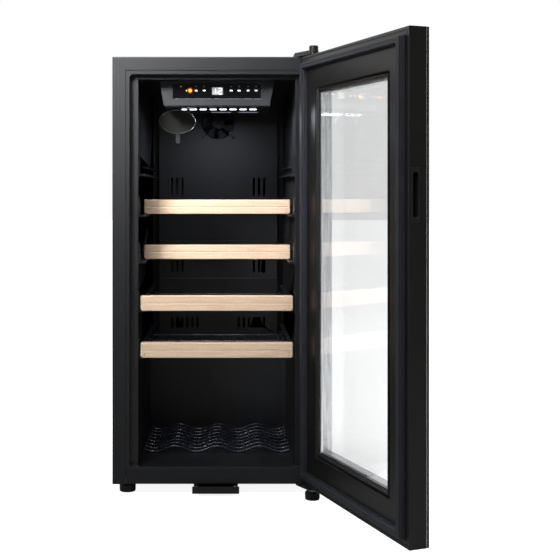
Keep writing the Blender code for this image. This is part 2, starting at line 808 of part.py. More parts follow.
def lens_and_lamps(shop):
    """The diffuser over the light openings, and the board of lamps above it."""
    x0, x1 = -0.085, 0.090
    y0, y1 = LIGHT_ROW - 0.008, STRIP_ROW + 0.008
    z0 = HOUSING_BOTTOM + HOUSING_WALL + GAP
    z1 = z0 + 0.0015
    shop.box("light_lens", (x0, y0, z0), (x1, y1, z1), "frosted_acrylic")
    z2 = z1 + GAP
    z3 = z2 + LAMP_HEIGHT
    low, high = (x0 + 0.003, y0 + 0.002, z3), (x1 - 0.003, y1 - 0.002, z3 + BOARD_THICKNESS)
    board = shop.box("led_board", low, high, "circuit_board")
    lamps = [
        ((x - 0.002, LIGHT_ROW - 0.002, z2), (x + 0.002, LIGHT_ROW + 0.002, z3 + 0.0008))
        for x in (LIGHT_X + LIGHT_PITCH * (i - 3.5) for i in range(8))
    ]
    fuse(board, shop.boxes("led_board_lamps", lamps))


def temperature_probe(shop):
    x, z = -0.092, FAN_Z - 0.037
    probe = shop.prism(
        "temperature_probe",
        rounded(x - 0.005, x + 0.005, z - 0.0105, z + 0.0105, 0.003, 3),
        DUCT_FRONT - 0.008,
        DUCT_FRONT - GAP,
        "y",
        "white_abs",
    )
    slots = [
        ((x - 0.006, DUCT_FRONT - 0.009, z + dz), (x + 0.006, DUCT_FRONT - 0.0065, z + dz + 0.0015))
        for dz in (-0.005, 0.0, 0.005)
    ]
    return cut(probe, shop.boxes("temperature_probe_slots", slots))


def badge_plate(shop):
    x, y, z = BADGE_AT
    a, b = BADGE_SIZE[0] / 2, BADGE_SIZE[1] / 2
    tilt = math.radians(-3)
    outline = []
    for i in range(40):
        u, v = a * math.cos(math.pi * i / 20), b * math.sin(math.pi * i / 20)
        outline.append(
            (x + u * math.cos(tilt) - v * math.sin(tilt), z + u * math.sin(tilt) + v * math.cos(tilt))
        )
    plate = shop.prism("badge_plate", outline, y, y + 0.003, "y", "abs_black")
    tab = shop.box(
        "badge_tab",
        (x - 0.009, y + 0.0004, z + b - 0.006),
        (x + 0.009, y + 0.0026, HOUSING_BOTTOM - GAP),
    )
    return fuse(plate, tab)


# -------------------------------------------------------------------------- shelves


def shelf_front(shop, number, z, y):
    name = f"shelf_{number}_front"
    half, top = SHELF_WIDTH / 2, z + SHELF_FRONT_HEIGHT
    radius = 0.006
    outline = [(half, top), (-half, top)]
    outline += around(-half + radius, z + radius, radius, 180, 270, 4)
    outline += around(half - radius, z + radius, radius, 270, 360, 4)
    front = shop.prism(name, outline, y, y + SHELF_FRONT_THICKNESS, "y", "beech_wood")
    middle = z + SHELF_FRONT_HEIGHT / 2
    low, high = (-half - 0.01, y - 0.01, middle - 0.001), (half + 0.01, y + 0.0012, middle + 0.001)
    line = shop.box(name + "_line", low, high)
    notches = [((half - 0.0092, y - 0.01, z + 0.003), (half - 0.0068, y + 0.003, z + 0.0105))]
    return cut(front, line, shop.boxes(name + "_notches", mirrored(notches)))


def shelf_rack(shop, number, z, y):
    """Bars that run front to back on the side runners, welded over cross bars."""
    name = f"shelf_{number}_rack"
    ledge = z - LEDGE_DROP
    y0 = y + SHELF_FRONT_THICKNESS + GAP
    y1 = y0 + RACK_LENGTH
    low = ledge + GAP
    bars = []
    for i in range(WIRE_COUNT):
        x = WIRE_PITCH * (i - (WIRE_COUNT - 1) / 2)
        bars.append(((x - 0.0014, y0, low + 0.0042), (x + 0.0014, y1, low + 0.0070)))
    for x in (-RUNNER_X, RUNNER_X):
        bars.append(((x - 0.0025, y0, low), (x + 0.0025, y1, low + 0.0050)))
    rack = shop.boxes(name, bars, "black_coated_wire")
    cross = [
        ((-RUNNER_X, at - 0.0018, low + 0.0012), (RUNNER_X, at + 0.0018, low + 0.0048))
        for at in (y0 + 0.006, y0 + 0.095, y0 + 0.190, y1 - 0.004)
    ]
    return fuse(rack, shop.boxes(name + "_cross", cross))


def shelves(cabinet):
    """Each shelf hangs on an empty at its front edge, which slides it."""
    for i, (z, drawn) in enumerate(zip(SHELF_BOTTOMS, SHELF_DRAWN)):
        at = (0, SHELF_SETBACK - drawn, z)
        shop = cabinet.moving(f"shelf_{i + 1}_slide", at)
        shelf_front(shop, i + 1, z, at[1])
        shelf_rack(shop, i + 1, z, at[1])


def bottom_rack(shop):
    """Wavy wires from side to side, tied by straight ones, for a row of bottles on the floor."""
    y0, y1, radius = 0.126, HUMP_FRONT - 0.007, 0.002
    low = INNER_FLOOR + GAP
    half, steps = INNER_HALF - 0.004, 28
    middle, swing = low + 0.0090, 0.0058

    def wave(y):
        points = []
        for i in range(steps + 1):
            x = -half + 2 * half * i / steps
            points.append((x, y, middle + swing * math.cos(2 * math.pi * x / 0.085)))
        return points

    rack = shop.sweep("bottom_rack", wave(y0), radius, 4, "black_coated_wire")
    others = [
        shop.sweep(f"bottom_rack_wave_{i}", wave(y), radius, 4)
        for i, y in enumerate(((y0 + y1) / 2, y1))
    ]
    rails = []
    for x in (-0.1275, -0.0425, 0.0425, 0.1275):
        rails.append(((x - 0.0020, y0 - 0.001, low), (x + 0.0020, y1 + 0.001, low + 0.0035)))
    return fuse(rack, *others, shop.boxes("bottom_rack_rails", rails))


# --------------------------------------------------------------------------- hinges


def bracket_outline(radius, x0, x1, y0, y1):
    """A plate on the cabinet with an arm that ends round the hinge axis."""
    arm = around(HINGE_X, HINGE_Y, radius, 180, 360)
    return [(x0, y1), (x0, y0)] + arm + [(x1, y0), (x1, y1)]


def top_hinge(shop):
    z0 = CABINET_TOP + GAP
    z1 = z0 + 0.003
    x0, x1, y0, y1 = HALF - 0.0445, HALF - 0.0065, 0.012, 0.062
    bracket = shop.prism(
        "top_hinge_bracket", bracket_outline(0.0065, x0, x1, y0, y1), z0, z1, "z", "zinc_plated_steel"
    )
    pin = [
        (0, DOOR_TOP - 0.016),
        (PIN_RADIUS, DOOR_TOP - 0.016),
        (PIN_RADIUS, z1 - 0.0005),
        (0.005, z1 - 0.0005),
        (0.005, z1 + 0.0018),
        (0, z1 + 0.0018),
    ]
    at = (HINGE_X, HINGE_Y, 0)
    fuse(bracket, shop.lathe("top_hinge_pin", pin, at, "z", 16))
    top = z0 + 0.0077
    cover = shop.prism(
        "top_hinge_cover",
        bracket_outline(0.00875, x0 - 0.005, x1 + 0.0045, y0 - 0.005, y1 + 0.005),
        z0,
        top,
        "z",
        "abs_black",
    )
    knob = [
        (0, z1 + 0.002),
        (0.0086, z1 + 0.002),
        (0.0086, z0 + 0.0150),
        (0.0074, z0 + 0.0162),
        (0, z0 + 0.0162),
    ]
    boss = shop.lathe("top_hinge_boss", knob, at, "z", 20)
    space = shop.prism(
        "top_hinge_space",
        bracket_outline(0.0069, x0 - GAP, x1 + GAP, y0 - GAP, y1 + GAP),
        z0 - 0.01,
        z1 + GAP,
        "z",
    )
    hollow = [(0, z1 - 0.001), (0.0056, z1 - 0.001), (0.0056, z1 + 0.0024), (0, z1 + 0.0024)]
    head = shop.lathe("top_hinge_head_space", hollow, at, "z", 16)
    fuse(cover, boss)
    return cut(cover, space, head)


def bottom_hinge(shop):
    z1 = CABINET_BOTTOM - GAP
    z0 = z1 - 0.0032
    bracket = shop.prism(
        "bottom_hinge_bracket",
        bracket_outline(0.0110, HALF - 0.0475, HALF - 0.0055, 0.006, 0.060),
        z0,
        z1,
        "z",
        "zinc_plated_steel",
    )
    pin = [
        (0, z1 - 0.001),
        (0.0055, z1 - 0.001),
        (0.0055, DOOR_BOTTOM - 0.0006),
        (PIN_RADIUS, DOOR_BOTTOM - 0.0006),
        (PIN_RADIUS, DOOR_BOTTOM + 0.0140),
        (0, DOOR_BOTTOM + 0.0140),
    ]
    fuse(bracket, shop.lathe("bottom_hinge_pin", pin, (HINGE_X, HINGE_Y, 0), "z", 16))
    stud = circle(*FOOT_RIGHT_AT, 0.0033, 14)
    socket = shop.prism("bottom_hinge_socket", stud, z0 - 0.01, z0 + 0.0018, "z")
    return cut(bracket, socket)


# ----------------------------------------------------------------------------- door


def door_outline(inset, radius=0.0):
    half = DOOR_WIDTH / 2 - inset
    return rounded(-half, half, DOOR_BOTTOM + inset, DOOR_TOP - inset, radius)


def door_frame(shop):
    frame = shop.plate(
        "door_frame",
        [door_outline(0), door_outline(DOOR_RAIL)],
        DOOR_GLASS_BACK,
        DOOR_BACK,
        "y",
        "abs_black",
    )
    a = (GASKET_BAND[0] + GASKET_BAND[1]) / 2
    groove = shop.plate(
        "door_gasket_groove",
        [door_outline(a - 0.0022), door_outline(a + 0.0022)],
        DOOR_BACK - 0.0026,
        DOOR_BACK + 0.01,
        "y",
    )
    pocket = shop.box(
        "door_handle_space",
        (-DOOR_WIDTH / 2 - 0.01, DOOR_BACK - HANDLE_BAND[1] - GAP, HANDLE_SPAN[0] - GAP),
        (-DOOR_WIDTH / 2 + HANDLE_DEPTH + GAP, DOOR_BACK - HANDLE_BAND[0] + GAP, HANDLE_SPAN[1] + GAP),
    )
    bush = circle(HINGE_X, HINGE_Y, 0.0063, 20)
    upper = shop.prism("door_upper_bush_hole", bush, DOOR_TOP - 0.018, DOOR_TOP + 0.01, "z")
    lower = shop.prism("door_lower_bush_hole", bush, DOOR_BOTTOM - 0.01, DOOR_BOTTOM + 0.018, "z")
    return cut(frame, groove, pocket, upper, lower)


def door_glazing(shop):
    shop.prism("outer_glass", door_outline(0), DOOR_FRONT, DOOR_FRONT + GLASS, "y", "clear_glass")
    inset = DOOR_RAIL + GAP
    inner_front = DOOR_BACK - 0.0095
    shop.prism("inner_glass", door_outline(inset), inner_front, inner_front + GLASS, "y", "clear_glass")
    shop.plate(
        "glass_spacer",
        [door_outline(inset), door_outline(inset + 0.009)],
        DOOR_GLASS_BACK,
        inner_front - GAP,
        "y",
        "aluminium",
    )
    shop.plate(
        "door_bead",
        [door_outline(inset), door_outline(inset + 0.005)],
        inner_front + GLASS + GAP,
        DOOR_BACK - 0.0004,
        "y",
        "abs_black",
    )


def door_gasket(shop):
    a, b = GASKET_BAND
    foot = DOOR_BACK + GAP
    outlines = [door_outline(a), door_outline(b)]
    gasket = shop.plate(
        "door_gasket", outlines, foot, foot + 0.003, "y", "gasket_rubber"
    )
    bulb = shop.plate(
        "door_gasket_bulb",
        [door_outline(a + 0.002), door_outline(b - 0.002)],
        foot + 0.002,
        DOOR_BACK + GASKET_PROUD,
        "y",
    )
    middle = (a + b) / 2
    dart = shop.plate(
        "door_gasket_dart",
        [door_outline(middle - 0.0018), door_outline(middle + 0.0018)],
        DOOR_BACK - 0.0022,
        foot + 0.001,
        "y",
    )
    return fuse(gasket, bulb, dart)


def handle_cup(shop):
    x0, x1 = -DOOR_WIDTH / 2, -DOOR_WIDTH / 2 + HANDLE_DEPTH
    y0, y1 = DOOR_BACK - HANDLE_BAND[1], DOOR_BACK - HANDLE_BAND[0]
    z0, z1 = HANDLE_SPAN
    cup = shop.prism("handle_cup", rounded(y0, y1, z0, z1, 0.0015, 2), x0, x1, "x", "abs_grey")
    slot = shop.prism(
        "handle_slot",
        rounded(y0 + 0.00375, y1 - 0.00375, z0 + 0.008, z1 - 0.008, 0.0042, 4),
        x0 - 0.01,
        x1 - 0.002,
        "x",
    )
    return cut(cup, slot)


def hinge_bushes(shop):
    at = (HINGE_X, HINGE_Y, 0)
    spans = (
        ("top_hinge_bush", DOOR_TOP - 0.018 + GAP, DOOR_TOP),
        ("bottom_hinge_bush", DOOR_BOTTOM, DOOR_BOTTOM + 0.018 - GAP),
    )
    for name, z0, z1 in spans:
        loop = [(0.0033, z0), (0.0060, z0), (0.0060, z1), (0.0033, z1)]
        shop.lathe(name, loop, at, "z", 20, "acetal_white")


# ------------------------------------------------------------- feet, tray, machinery


def feet(shop):
    x, y = FOOT_LEFT_AT
    top = CABINET_BOTTOM - GAP
    left = [
        (0, 0),
        (0.0145, 0),
        (0.0155, 0.001),
        (0.0155, 0.013),
        (0.0120, top),
        (0.0040, top),
        (0.0040, CABINET_BOTTOM + SHEET),
        (0, CABINET_BOTTOM + SHEET),
    ]
    shop.lathe("foot_front_left", left, (x, y, 0), "z", 24, "abs_black")
    x, y = FOOT_RIGHT_AT
    top = CABINET_BOTTOM - 2 * GAP - 0.0032
    right = [
        (0, 0),
        (0.0128, 0),
        (0.0138, 0.001),
        (0.0138, 0.012),
        (0.0110, top),
        (0.0030, top),
        (0.0030, top + 0.0017),
        (0, top + 0.0017),
    ]
    shop.lathe("foot_front_right", right, (x, y, 0), "z", 24, "abs_black")
    top = CABINET_BOTTOM - GAP
    rear = [(0, 0), (0.0110, 0), (0.0120, 0.001), (0.0120, top), (0, top)]
    for name, sign in (("foot_rear_left", -1), ("foot_rear_right", 1)):
        shop.lathe(name, rear, (sign * (HALF - 0.030), CABINET_DEPTH - 0.032, 0), "z", 20, "black_rubber")


def drip_tray(cabinet):
    """An open pan with a wide front lip and two wings that run in the guide."""
    shop = cabinet.moving("drip_tray_slide", (TRAY_X, TRAY_LIP, 0))
    x, half, wall = TRAY_X, TRAY_BODY_HALF, 0.0018
    y0, y1 = TRAY_LIP, TRAY_LIP + TRAY_LENGTH
    z0, z1 = TRAY_BOTTOM, TRAY_TOP
    tray = shop.box("drip_tray", (x - half, y0 + 0.001, z0), (x + half, y1, z1), "abs_black")
    reach = half + TRAY_WING
    low, high = (x - reach, y0 + 0.018, z1 - 0.0015), (x + reach, y1, z1 - 0.0001)
    wings = shop.box("drip_tray_wings", low, high)
    low, high = (x - TRAY_HALF, y0, z0), (x + TRAY_HALF, y0 + 0.003, z1 + 0.0015)
    lip = shop.box("drip_tray_lip", low, high)
    low = (x - half + wall, y0 + 0.005, z0 + wall)
    hollow = shop.box("drip_tray_hollow", low, (x + half - wall, y1 - wall, z1 + 0.01))
    fuse(tray, wings, lip)
    return cut(tray, hollow)


def tray_guide(shop):
    """A channel under the base, open in front, whose lower lips carry the tray's wings."""
    x, wall = TRAY_X, 0.0015
    y0, y1 = 0.0040, TRAY_LIP + TRAY_LENGTH + 0.0035
    z0, z1 = TRAY_TOP - wall - TRAY_PLAY - wall, CABINET_BOTTOM - GAP
    inner = TRAY_BODY_HALF + TRAY_WING + TRAY_PLAY
    outer = inner + wall
    guide = shop.box("tray_guide", (x - outer, y0, z0), (x + outer, y1, z1), "galvanised_steel")
    low, high = (x - inner, y0 - 0.01, z0 + wall), (x + inner, y1 - wall, z1 - 0.0008)
    space = shop.box("tray_guide_space", low, high)
    slot = TRAY_BODY_HALF + TRAY_PLAY
    low, high = (x - slot, y0 - 0.01, z0 - 0.01), (x + slot, y1 - wall, z0 + 0.003)
    below = shop.box("tray_guide_below", low, high)
    return cut(guide, space, below)


def compressor_mount(shop):
    inner = HALF - SHEET - GAP
    y0, y1 = BAY_FRONT + SHEET + GAP, CABINET_DEPTH - SHEET - GAP
    z0 = CABINET_BOTTOM
    plate = shop.box("compressor_mount", (-inner, y0, z0), (inner, y1, z0 + 0.002), "galvanised_steel")
    lip = shop.box("compressor_mount_lip", (-inner, y0, z0 + 0.001), (inner, y0 + 0.0015, z0 + 0.012))
    posts = [
        ((x - 0.007, y - 0.007, z0 + 0.001), (x + 0.007, y + 0.007, z0 + 0.0090))
        for x in (COMPRESSOR_AT[0] - 0.060, COMPRESSOR_AT[0] + 0.060)
        for y in (COMPRESSOR_AT[1] - 0.0415, COMPRESSOR_AT[1] + 0.0415)
    ]
    return fuse(plate, lip, shop.boxes("compressor_posts", posts))


def compressor(shop):
    (x, y), z0 = COMPRESSOR_AT, COMPRESSOR_BOTTOM
    shell = [
        (0, z0 + 0.004),
        (0.034, z0 + 0.004),
        (0.050, z0 + 0.016),
        (0.055, z0 + 0.036),
        (0.055, z0 + 0.066),
        (0.0565, z0 + 0.067),
        (0.0565, z0 + 0.071),
        (0.055, z0 + 0.072),
        (0.055, z0 + 0.110),
        (0.048, z0 + 0.134),
        (0.030, z0 + 0.146),
        (0, z0 + COMPRESSOR_HEIGHT),
    ]
    body = shop.lathe("compressor", shell, (x, y, 0), "z", 28, "black_lacquered_steel")
    low, high = (x - 0.069, y - 0.0495, z0), (x + 0.069, y + 0.0495, z0 + 0.003)
    foot = shop.box("compressor_foot", low, high)
    low, high = (x - 0.028, y - 0.028, z0 + 0.001), (x + 0.028, y + 0.028, z0 + 0.012)
    stem = shop.box("compressor_stem", low, high)
    low, high = (x + 0.045, y - 0.022, z0 + 0.045), (x + 0.082, y + 0.022, z0 + 0.095)
    starter = shop.box("compressor_starter", low, high)
    return fuse(body, foot, stem, starter)


def evaporation_pan(shop):
    """An open pan on top of the compressor, whose warmth dries it."""
    wall = 0.002
    z0 = COMPRESSOR_BOTTOM + COMPRESSOR_HEIGHT + GAP
    x = COMPRESSOR_AT[0]
    low = Vector((x - 0.060, BAY_FRONT + 0.006, z0))
    high = Vector((x + 0.060, CABINET_DEPTH - 0.010, z0 + 0.022))
    pan = shop.box("evaporation_pan", low, high, "abs_black")
    inset = Vector((wall, wall, wall))
    above = Vector((-wall, -wall, 0.02))
    return cut(pan, shop.box("evaporation_pan_hollow", low + inset, high + above))


def condenser_coil(shop):
    """A serpentine on the back, held by two straps, whose lower end runs to the compressor."""
    y, radius = REAR_REACH - 0.0075, 0.0024
    low, high = COIL_SPAN
    pitch = (high - low) / (COIL_PASSES - 1)
    straight = COIL_HALF - COIL_BEND
    at = COMPRESSOR_AT[1]
    path = [(-0.0200, at + 0.0065, 0.110), (-0.060, at + 0.0165, 0.110)]
    path += [(-0.085, at + 0.0465, 0.125), (-0.090, y, 0.160)]
    path += [(-0.090, y, 0.240), (-0.100, y, 0.275), (-0.125, y, low - 0.004)]
    for i in range(COIL_PASSES):
        z, sign = low + pitch * i, 1 if i % 2 == 0 else -1
        if i > 0:
            path.append((-sign * straight, y, z))
        path.append((sign * straight, y, z))
        if i == COIL_PASSES - 1:
            break
        for degrees in (45, 90, 135):
            turn = math.radians(degrees)
            x = sign * (straight + COIL_BEND * math.sin(turn))
            path.append((x, y, z + pitch / 2 * (1 - math.cos(turn))))
    coil = shop.sweep("condenser_coil", path, radius, 6, "black_lacquered_steel")
    face = CABINET_DEPTH - SHEET
    x = COIL_HALF - 0.044
    straps = [((x, face, 0.262), (x + 0.006, REAR_REACH, high + 0.020))]
    return fuse(coil, shop.boxes("condenser_straps", mirrored(straps)))


def mains_inlet(shop):
    face = CABINET_DEPTH - SHEET
    inlet = shop.box("mains_inlet", (-0.062, face, 0.232), (-0.030, face + 0.016, 0.262), "abs_black")
    end = REAR_REACH - 0.001
    gland = [(0, face + 0.012), (0.0075, face + 0.012), (0.0060, end), (0, end)]
    return fuse(inlet, shop.lathe("mains_gland", gland, (-0.046, 0, 0.247), "y", 16))


# ------------------------------------------------------------------------- assembly


def rest_centre():
    """The middle of the plan view at rest, from the swung door's free corners and the cabinet."""
    turn = Matrix.Rotation(math.radians(DOOR_OPEN), 2)
    reach = -DOOR_WIDTH / 2 - HINGE_X
    corners = [
        turn @ Vector((reach, y - HINGE_Y)) + Vector((HINGE_X, HINGE_Y))
        for y in (DOOR_BACK, DOOR_FRONT)
    ]
    right = max(HALF, *(corner.x for corner in corners))
    front = min(corner.y for corner in corners)
    return (right - HALF) / 2, (REAR_REACH + front) / 2


def main():
    clear_scene()
    nodes = bpy.data.collections.new("wine_cooler")
    helpers = bpy.data.collections.new("cutters")
    helpers.hide_render = True
    cx, cy = rest_centre()
    row_frame = empty("row_frame", None, (-cx, -cy, 0))
    cabinet = Shop(row_frame, (0, 0, 0), nodes, helpers)
    door = cabinet.moving("hinge_axis", (HINGE_X, HINGE_Y, 0), math.radians(DOOR_OPEN))

    side_panel(cabinet, "left_side_panel", -1)
    side_panel(cabinet, "right_side_panel", 1)
    for make in CABINET_PIECES:
        make(cabinet)
    for make in DOOR_PIECES:
        make(door)
    for collection in (nodes, helpers):
        bpy.context.scene.collection.children.link(collection)


CABINET_PIECES = (
    top_panel,
    rear_panel,
    base_pan,
    front_base_rail,
    inner_liner,
    insulation_foam,
    duct_cover,
    evaporator,
    fan_frame,
    fan_rotor,
    fan_guard,
    control_housing,
    display_and_board,
    lens_and_lamps,
    temperature_probe,
    badge_plate,
    shelves,
    bottom_rack,
    top_hinge,
    bottom_hinge,
    feet,
    drip_tray,
    tray_guide,
    compressor_mount,
    compressor,
    evaporation_pan,
    condenser_coil,
    mains_inlet,
)
DOOR_PIECES = (door_frame, door_glazing, door_gasket, handle_cup, hinge_bushes)

main()
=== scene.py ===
"""The looks of a compact wine cooler with a glass door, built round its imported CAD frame.

Each sub-assembly is a class. It takes a bench, which is the frame of the cabinet or of the swung
door, makes its pieces in that frame's own metres (x from the middle, y from the front flange or
the closed door's back, z from the floor), dresses them in a finish and hands them to their body.
"""

import json
import logging
import math
import sys
from dataclasses import dataclass
from enum import Enum
from typing import Callable, Iterable, Sequence

import bmesh
import bpy
from mathutils import Matrix, Vector

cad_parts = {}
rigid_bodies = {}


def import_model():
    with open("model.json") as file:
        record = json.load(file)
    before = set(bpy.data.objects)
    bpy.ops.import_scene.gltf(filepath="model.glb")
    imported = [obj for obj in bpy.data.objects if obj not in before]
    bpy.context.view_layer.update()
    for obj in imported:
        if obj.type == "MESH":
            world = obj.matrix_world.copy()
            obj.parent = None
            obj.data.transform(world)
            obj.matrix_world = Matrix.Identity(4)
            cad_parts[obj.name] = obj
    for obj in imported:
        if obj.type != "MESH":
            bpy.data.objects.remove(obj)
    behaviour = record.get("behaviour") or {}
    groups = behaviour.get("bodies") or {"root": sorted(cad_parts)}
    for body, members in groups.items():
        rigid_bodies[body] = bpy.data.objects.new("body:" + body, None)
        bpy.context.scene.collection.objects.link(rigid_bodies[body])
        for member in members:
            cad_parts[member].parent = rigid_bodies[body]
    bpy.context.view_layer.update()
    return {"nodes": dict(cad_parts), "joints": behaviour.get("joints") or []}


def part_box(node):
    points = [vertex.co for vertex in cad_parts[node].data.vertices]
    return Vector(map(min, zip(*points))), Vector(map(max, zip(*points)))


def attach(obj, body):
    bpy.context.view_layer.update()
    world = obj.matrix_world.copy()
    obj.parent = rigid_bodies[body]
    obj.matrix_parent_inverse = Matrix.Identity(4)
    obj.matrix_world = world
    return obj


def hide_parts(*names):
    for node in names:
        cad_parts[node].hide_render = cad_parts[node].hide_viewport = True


for leftover in list(bpy.data.objects):
    bpy.data.objects.remove(leftover)
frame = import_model()

log = logging.getLogger("wine_cooler")

Pair = tuple[float, float]
Triple = tuple[float, float, float]

SMOOTH = math.radians(38)
WELD = 2e-6


class Body(Enum):
    """The CAD bodies that pieces ride on."""

    CABINET = "cabinet"
    DOOR = "door"
    SHELF_1 = "shelf_1"
    SHELF_2 = "shelf_2"
    SHELF_3 = "shelf_3"
    SHELF_4 = "shelf_4"
    DRIP_TRAY = "drip_tray"
    FAN = "fan"
    LEFT_FOOT = "front_left_foot"
    RIGHT_FOOT = "front_right_foot"


class Axis(Enum):
    """How a flat outline (a, b) and its thickness c stand in space, as places for x, y and z."""

    X = (1, 2, 0)
    Y = (0, 2, 1)
    Z = (0, 1, 2)


# ------------------------------------------------------------------------------ finishes


def linear(hex_colour: str) -> tuple[float, float, float, float]:
    """Turns an sRGB hex colour to linear light.

    Args:
        hex_colour: Six hex digits, such as "55565A".

    Returns:
        Linear red, green, blue and an alpha of one.
    """
    parts = [int(hex_colour[i : i + 2], 16) / 255 for i in (0, 2, 4)]
    light = [p / 12.92 if p <= 0.04045 else ((p + 0.055) / 1.055) ** 2.4 for p in parts]
    return (light[0], light[1], light[2], 1.0)


def add(
    tree: bpy.types.NodeTree, kind: str, sockets: dict | None = None, **settings: object
) -> bpy.types.Node:
    """Adds one shader node with its settings and links.

    Args:
        tree: The node tree of the material or world.
        kind: The node's type without its "ShaderNode" prefix.
        sockets: Input name or index to a value, or to the output socket that feeds it.
        **settings: Attributes of the node.

    Returns:
        The new node.
    """
    node = tree.nodes.new("ShaderNode" + kind)
    for name, value in settings.items():
        setattr(node, name, value)
    for key, value in (sockets or {}).items():
        if isinstance(value, bpy.types.NodeSocket):
            tree.links.new(value, node.inputs[key])
        else:
            node.inputs[key].default_value = value
    return node


@dataclass(frozen=True)
class Finish:
    """A finish with two close tones in soft patches, and a fine grain in its gloss and relief.

    Lengths are millimetres on the real surface. The grain is drawn a little coarser than life
    where the real one would be finer than the render can show.
    """

    name: str
    tone: str
    shade: str
    roughness: float
    metallic: float = 0.0
    ior: float = 1.5
    coat: float = 0.0
    patch_mm: float = 60.0
    grain_mm: float = 1.2
    relief_mm: float = 0.03
    gloss_swing: float = 0.08
    stretch: Triple = (1.0, 1.0, 1.0)

    def noise(
        self, tree: bpy.types.NodeTree, size_mm: float, detail: float, stretch: Triple
    ) -> bpy.types.Node:
        """Noise in the object's own space, of one real size.

        Args:
            tree: The material's nodes.
            size_mm: Size of one patch or grain.
            detail: Octaves of finer noise.
            stretch: How many times longer it is along x, y and z.

        Returns:
            The noise node.
        """
        place = add(tree, "TexCoord")
        scale = Vector([1000 / (size_mm * s) for s in stretch])
        lay = add(tree, "Mapping", {"Vector": place.outputs["Object"], "Scale": scale})
        return add(
            tree,
            "TexNoise",
            {"Vector": lay.outputs["Vector"], "Scale": 1.0, "Detail": detail},
        )

    def blend(
        self, tree: bpy.types.NodeTree, factor: bpy.types.NodeSocket, low: float, high: float
    ) -> bpy.types.NodeSocket:
        """The two tones, mixed where the factor runs from low to high.

        Args:
            tree: The material's nodes.
            factor: What chooses between the tones.
            low: The factor that gives the shade alone.
            high: The factor that gives the tone alone.

        Returns:
            The socket that gives the colour.
        """
        span = add(tree, "MapRange", {"Value": factor, "From Min": low, "From Max": high})
        mix = add(
            tree,
            "Mix",
            {0: span.outputs[0], 6: linear(self.shade), 7: linear(self.tone)},
            data_type="RGBA",
        )
        return mix.outputs[2]

    def colour(self, tree: bpy.types.NodeTree) -> bpy.types.NodeSocket:
        """The socket that gives the base colour."""
        patches = self.noise(tree, self.patch_mm, 3.0, self.stretch)
        return self.blend(tree, patches.outputs[0], 0.35, 0.65)

    def grain(self, tree: bpy.types.NodeTree) -> bpy.types.NodeSocket:
        """The socket that gives the fine grain, from 0 to 1."""
        return self.noise(tree, self.grain_mm, 2.0, self.stretch).outputs[0]

    def shade_surface(self, tree: bpy.types.NodeTree, shader: bpy.types.Node) -> None:
        """Links colour, gloss and relief to the shader.

        Args:
            tree: The material's nodes.
            shader: The node that takes them.
        """
        grain = self.grain(tree)
        tree.links.new(self.colour(tree), shader.inputs["Base Color"])
        gloss = add(
            tree,
            "MapRange",
            {
                "Value": grain,
                "To Min": max(0.0, self.roughness - self.gloss_swing / 2),
                "To Max": self.roughness + self.gloss_swing / 2,
            },
        )
        tree.links.new(gloss.outputs[0], shader.inputs["Roughness"])
        relief = add(
            tree,
            "Bump",
            {"Height": grain, "Strength": 1.0, "Distance": self.relief_mm / 1000},
        )
        tree.links.new(relief.outputs[0], shader.inputs["Normal"])

    def material(self) -> bpy.types.Material:
        """The material of this finish, made the first time it is asked for."""
        if self.name in bpy.data.materials:
            return bpy.data.materials[self.name]
        material = bpy.data.materials.new(self.name)
        material.use_nodes = True
        tree = material.node_tree
        shader = tree.nodes["Principled BSDF"]
        shader.inputs["Metallic"].default_value = self.metallic
        if self.metallic < 0.5:
            shader.inputs["IOR"].default_value = self.ior
        shader.inputs["Coat Weight"].default_value = self.coat
        self.shade_surface(tree, shader)
        return material


@dataclass(frozen=True)
class Beech(Finish):
    """Planed beech under a thin clear lacquer: long pale fibres, and short darker ray flecks."""

    fleck: str = "C09A76"
    fleck_mm: float = 0.7

    def colour(self, tree: bpy.types.NodeTree) -> bpy.types.NodeSocket:
        """Fibres in two tones, with flecks over them.

        Args:
            tree: The material's nodes.

        Returns:
            The socket that gives the base colour.
        """
        bands = self.noise(tree, self.patch_mm, 4.0, self.stretch)
        fibres = self.blend(tree, bands.outputs[0], 0.3, 0.7)
        flecks = self.noise(tree, self.fleck_mm, 0.0, (7.0, 1.0, 1.0))
        dark = add(
            tree,
            "MapRange",
            {"Value": flecks.outputs[0], "From Min": 0.62, "From Max": 0.74, "To Max": 0.55},
        )
        mix = add(
            tree,
            "Mix",
            {0: dark.outputs[0], 6: fibres, 7: linear(self.fleck)},
            data_type="RGBA",
        )
        return mix.outputs[2]


@dataclass(frozen=True)
class Spangled(Finish):
    """Hot-dip galvanised sheet: zinc crystals, each a slightly different grey and gloss."""

    def crystals(self, tree: bpy.types.NodeTree) -> bpy.types.NodeSocket:
        """One random grey for each crystal.

        Args:
            tree: The material's nodes.

        Returns:
            The socket that gives the greys.
        """
        place = add(tree, "TexCoord")
        cells = add(
            tree,
            "TexVoronoi",
            {"Vector": place.outputs["Object"], "Scale": 1000 / self.patch_mm},
        )
        return cells.outputs["Color"]

    def colour(self, tree: bpy.types.NodeTree) -> bpy.types.NodeSocket:
        """The crystals' greys."""
        return self.blend(tree, self.crystals(tree), 0.0, 1.0)

    def grain(self, tree: bpy.types.NodeTree) -> bpy.types.NodeSocket:
        """The crystals' gloss."""
        return self.crystals(tree)


@dataclass(frozen=True)
class ClearGlass(Finish):
    """Float glass: clear, with a trace of green in its body and a faint film on its faces."""

    def grain(self, tree: bpy.types.NodeTree) -> bpy.types.NodeSocket:
        """The film, which only dulls the gloss."""
        return self.noise(tree, self.grain_mm, 1.0, self.stretch).outputs[0]

    def material(self) -> bpy.types.Material:
        """The base finish, made to let light through."""
        material = super().material()
        shader = material.node_tree.nodes["Principled BSDF"]
        shader.inputs["Transmission Weight"].default_value = 1.0
        return material


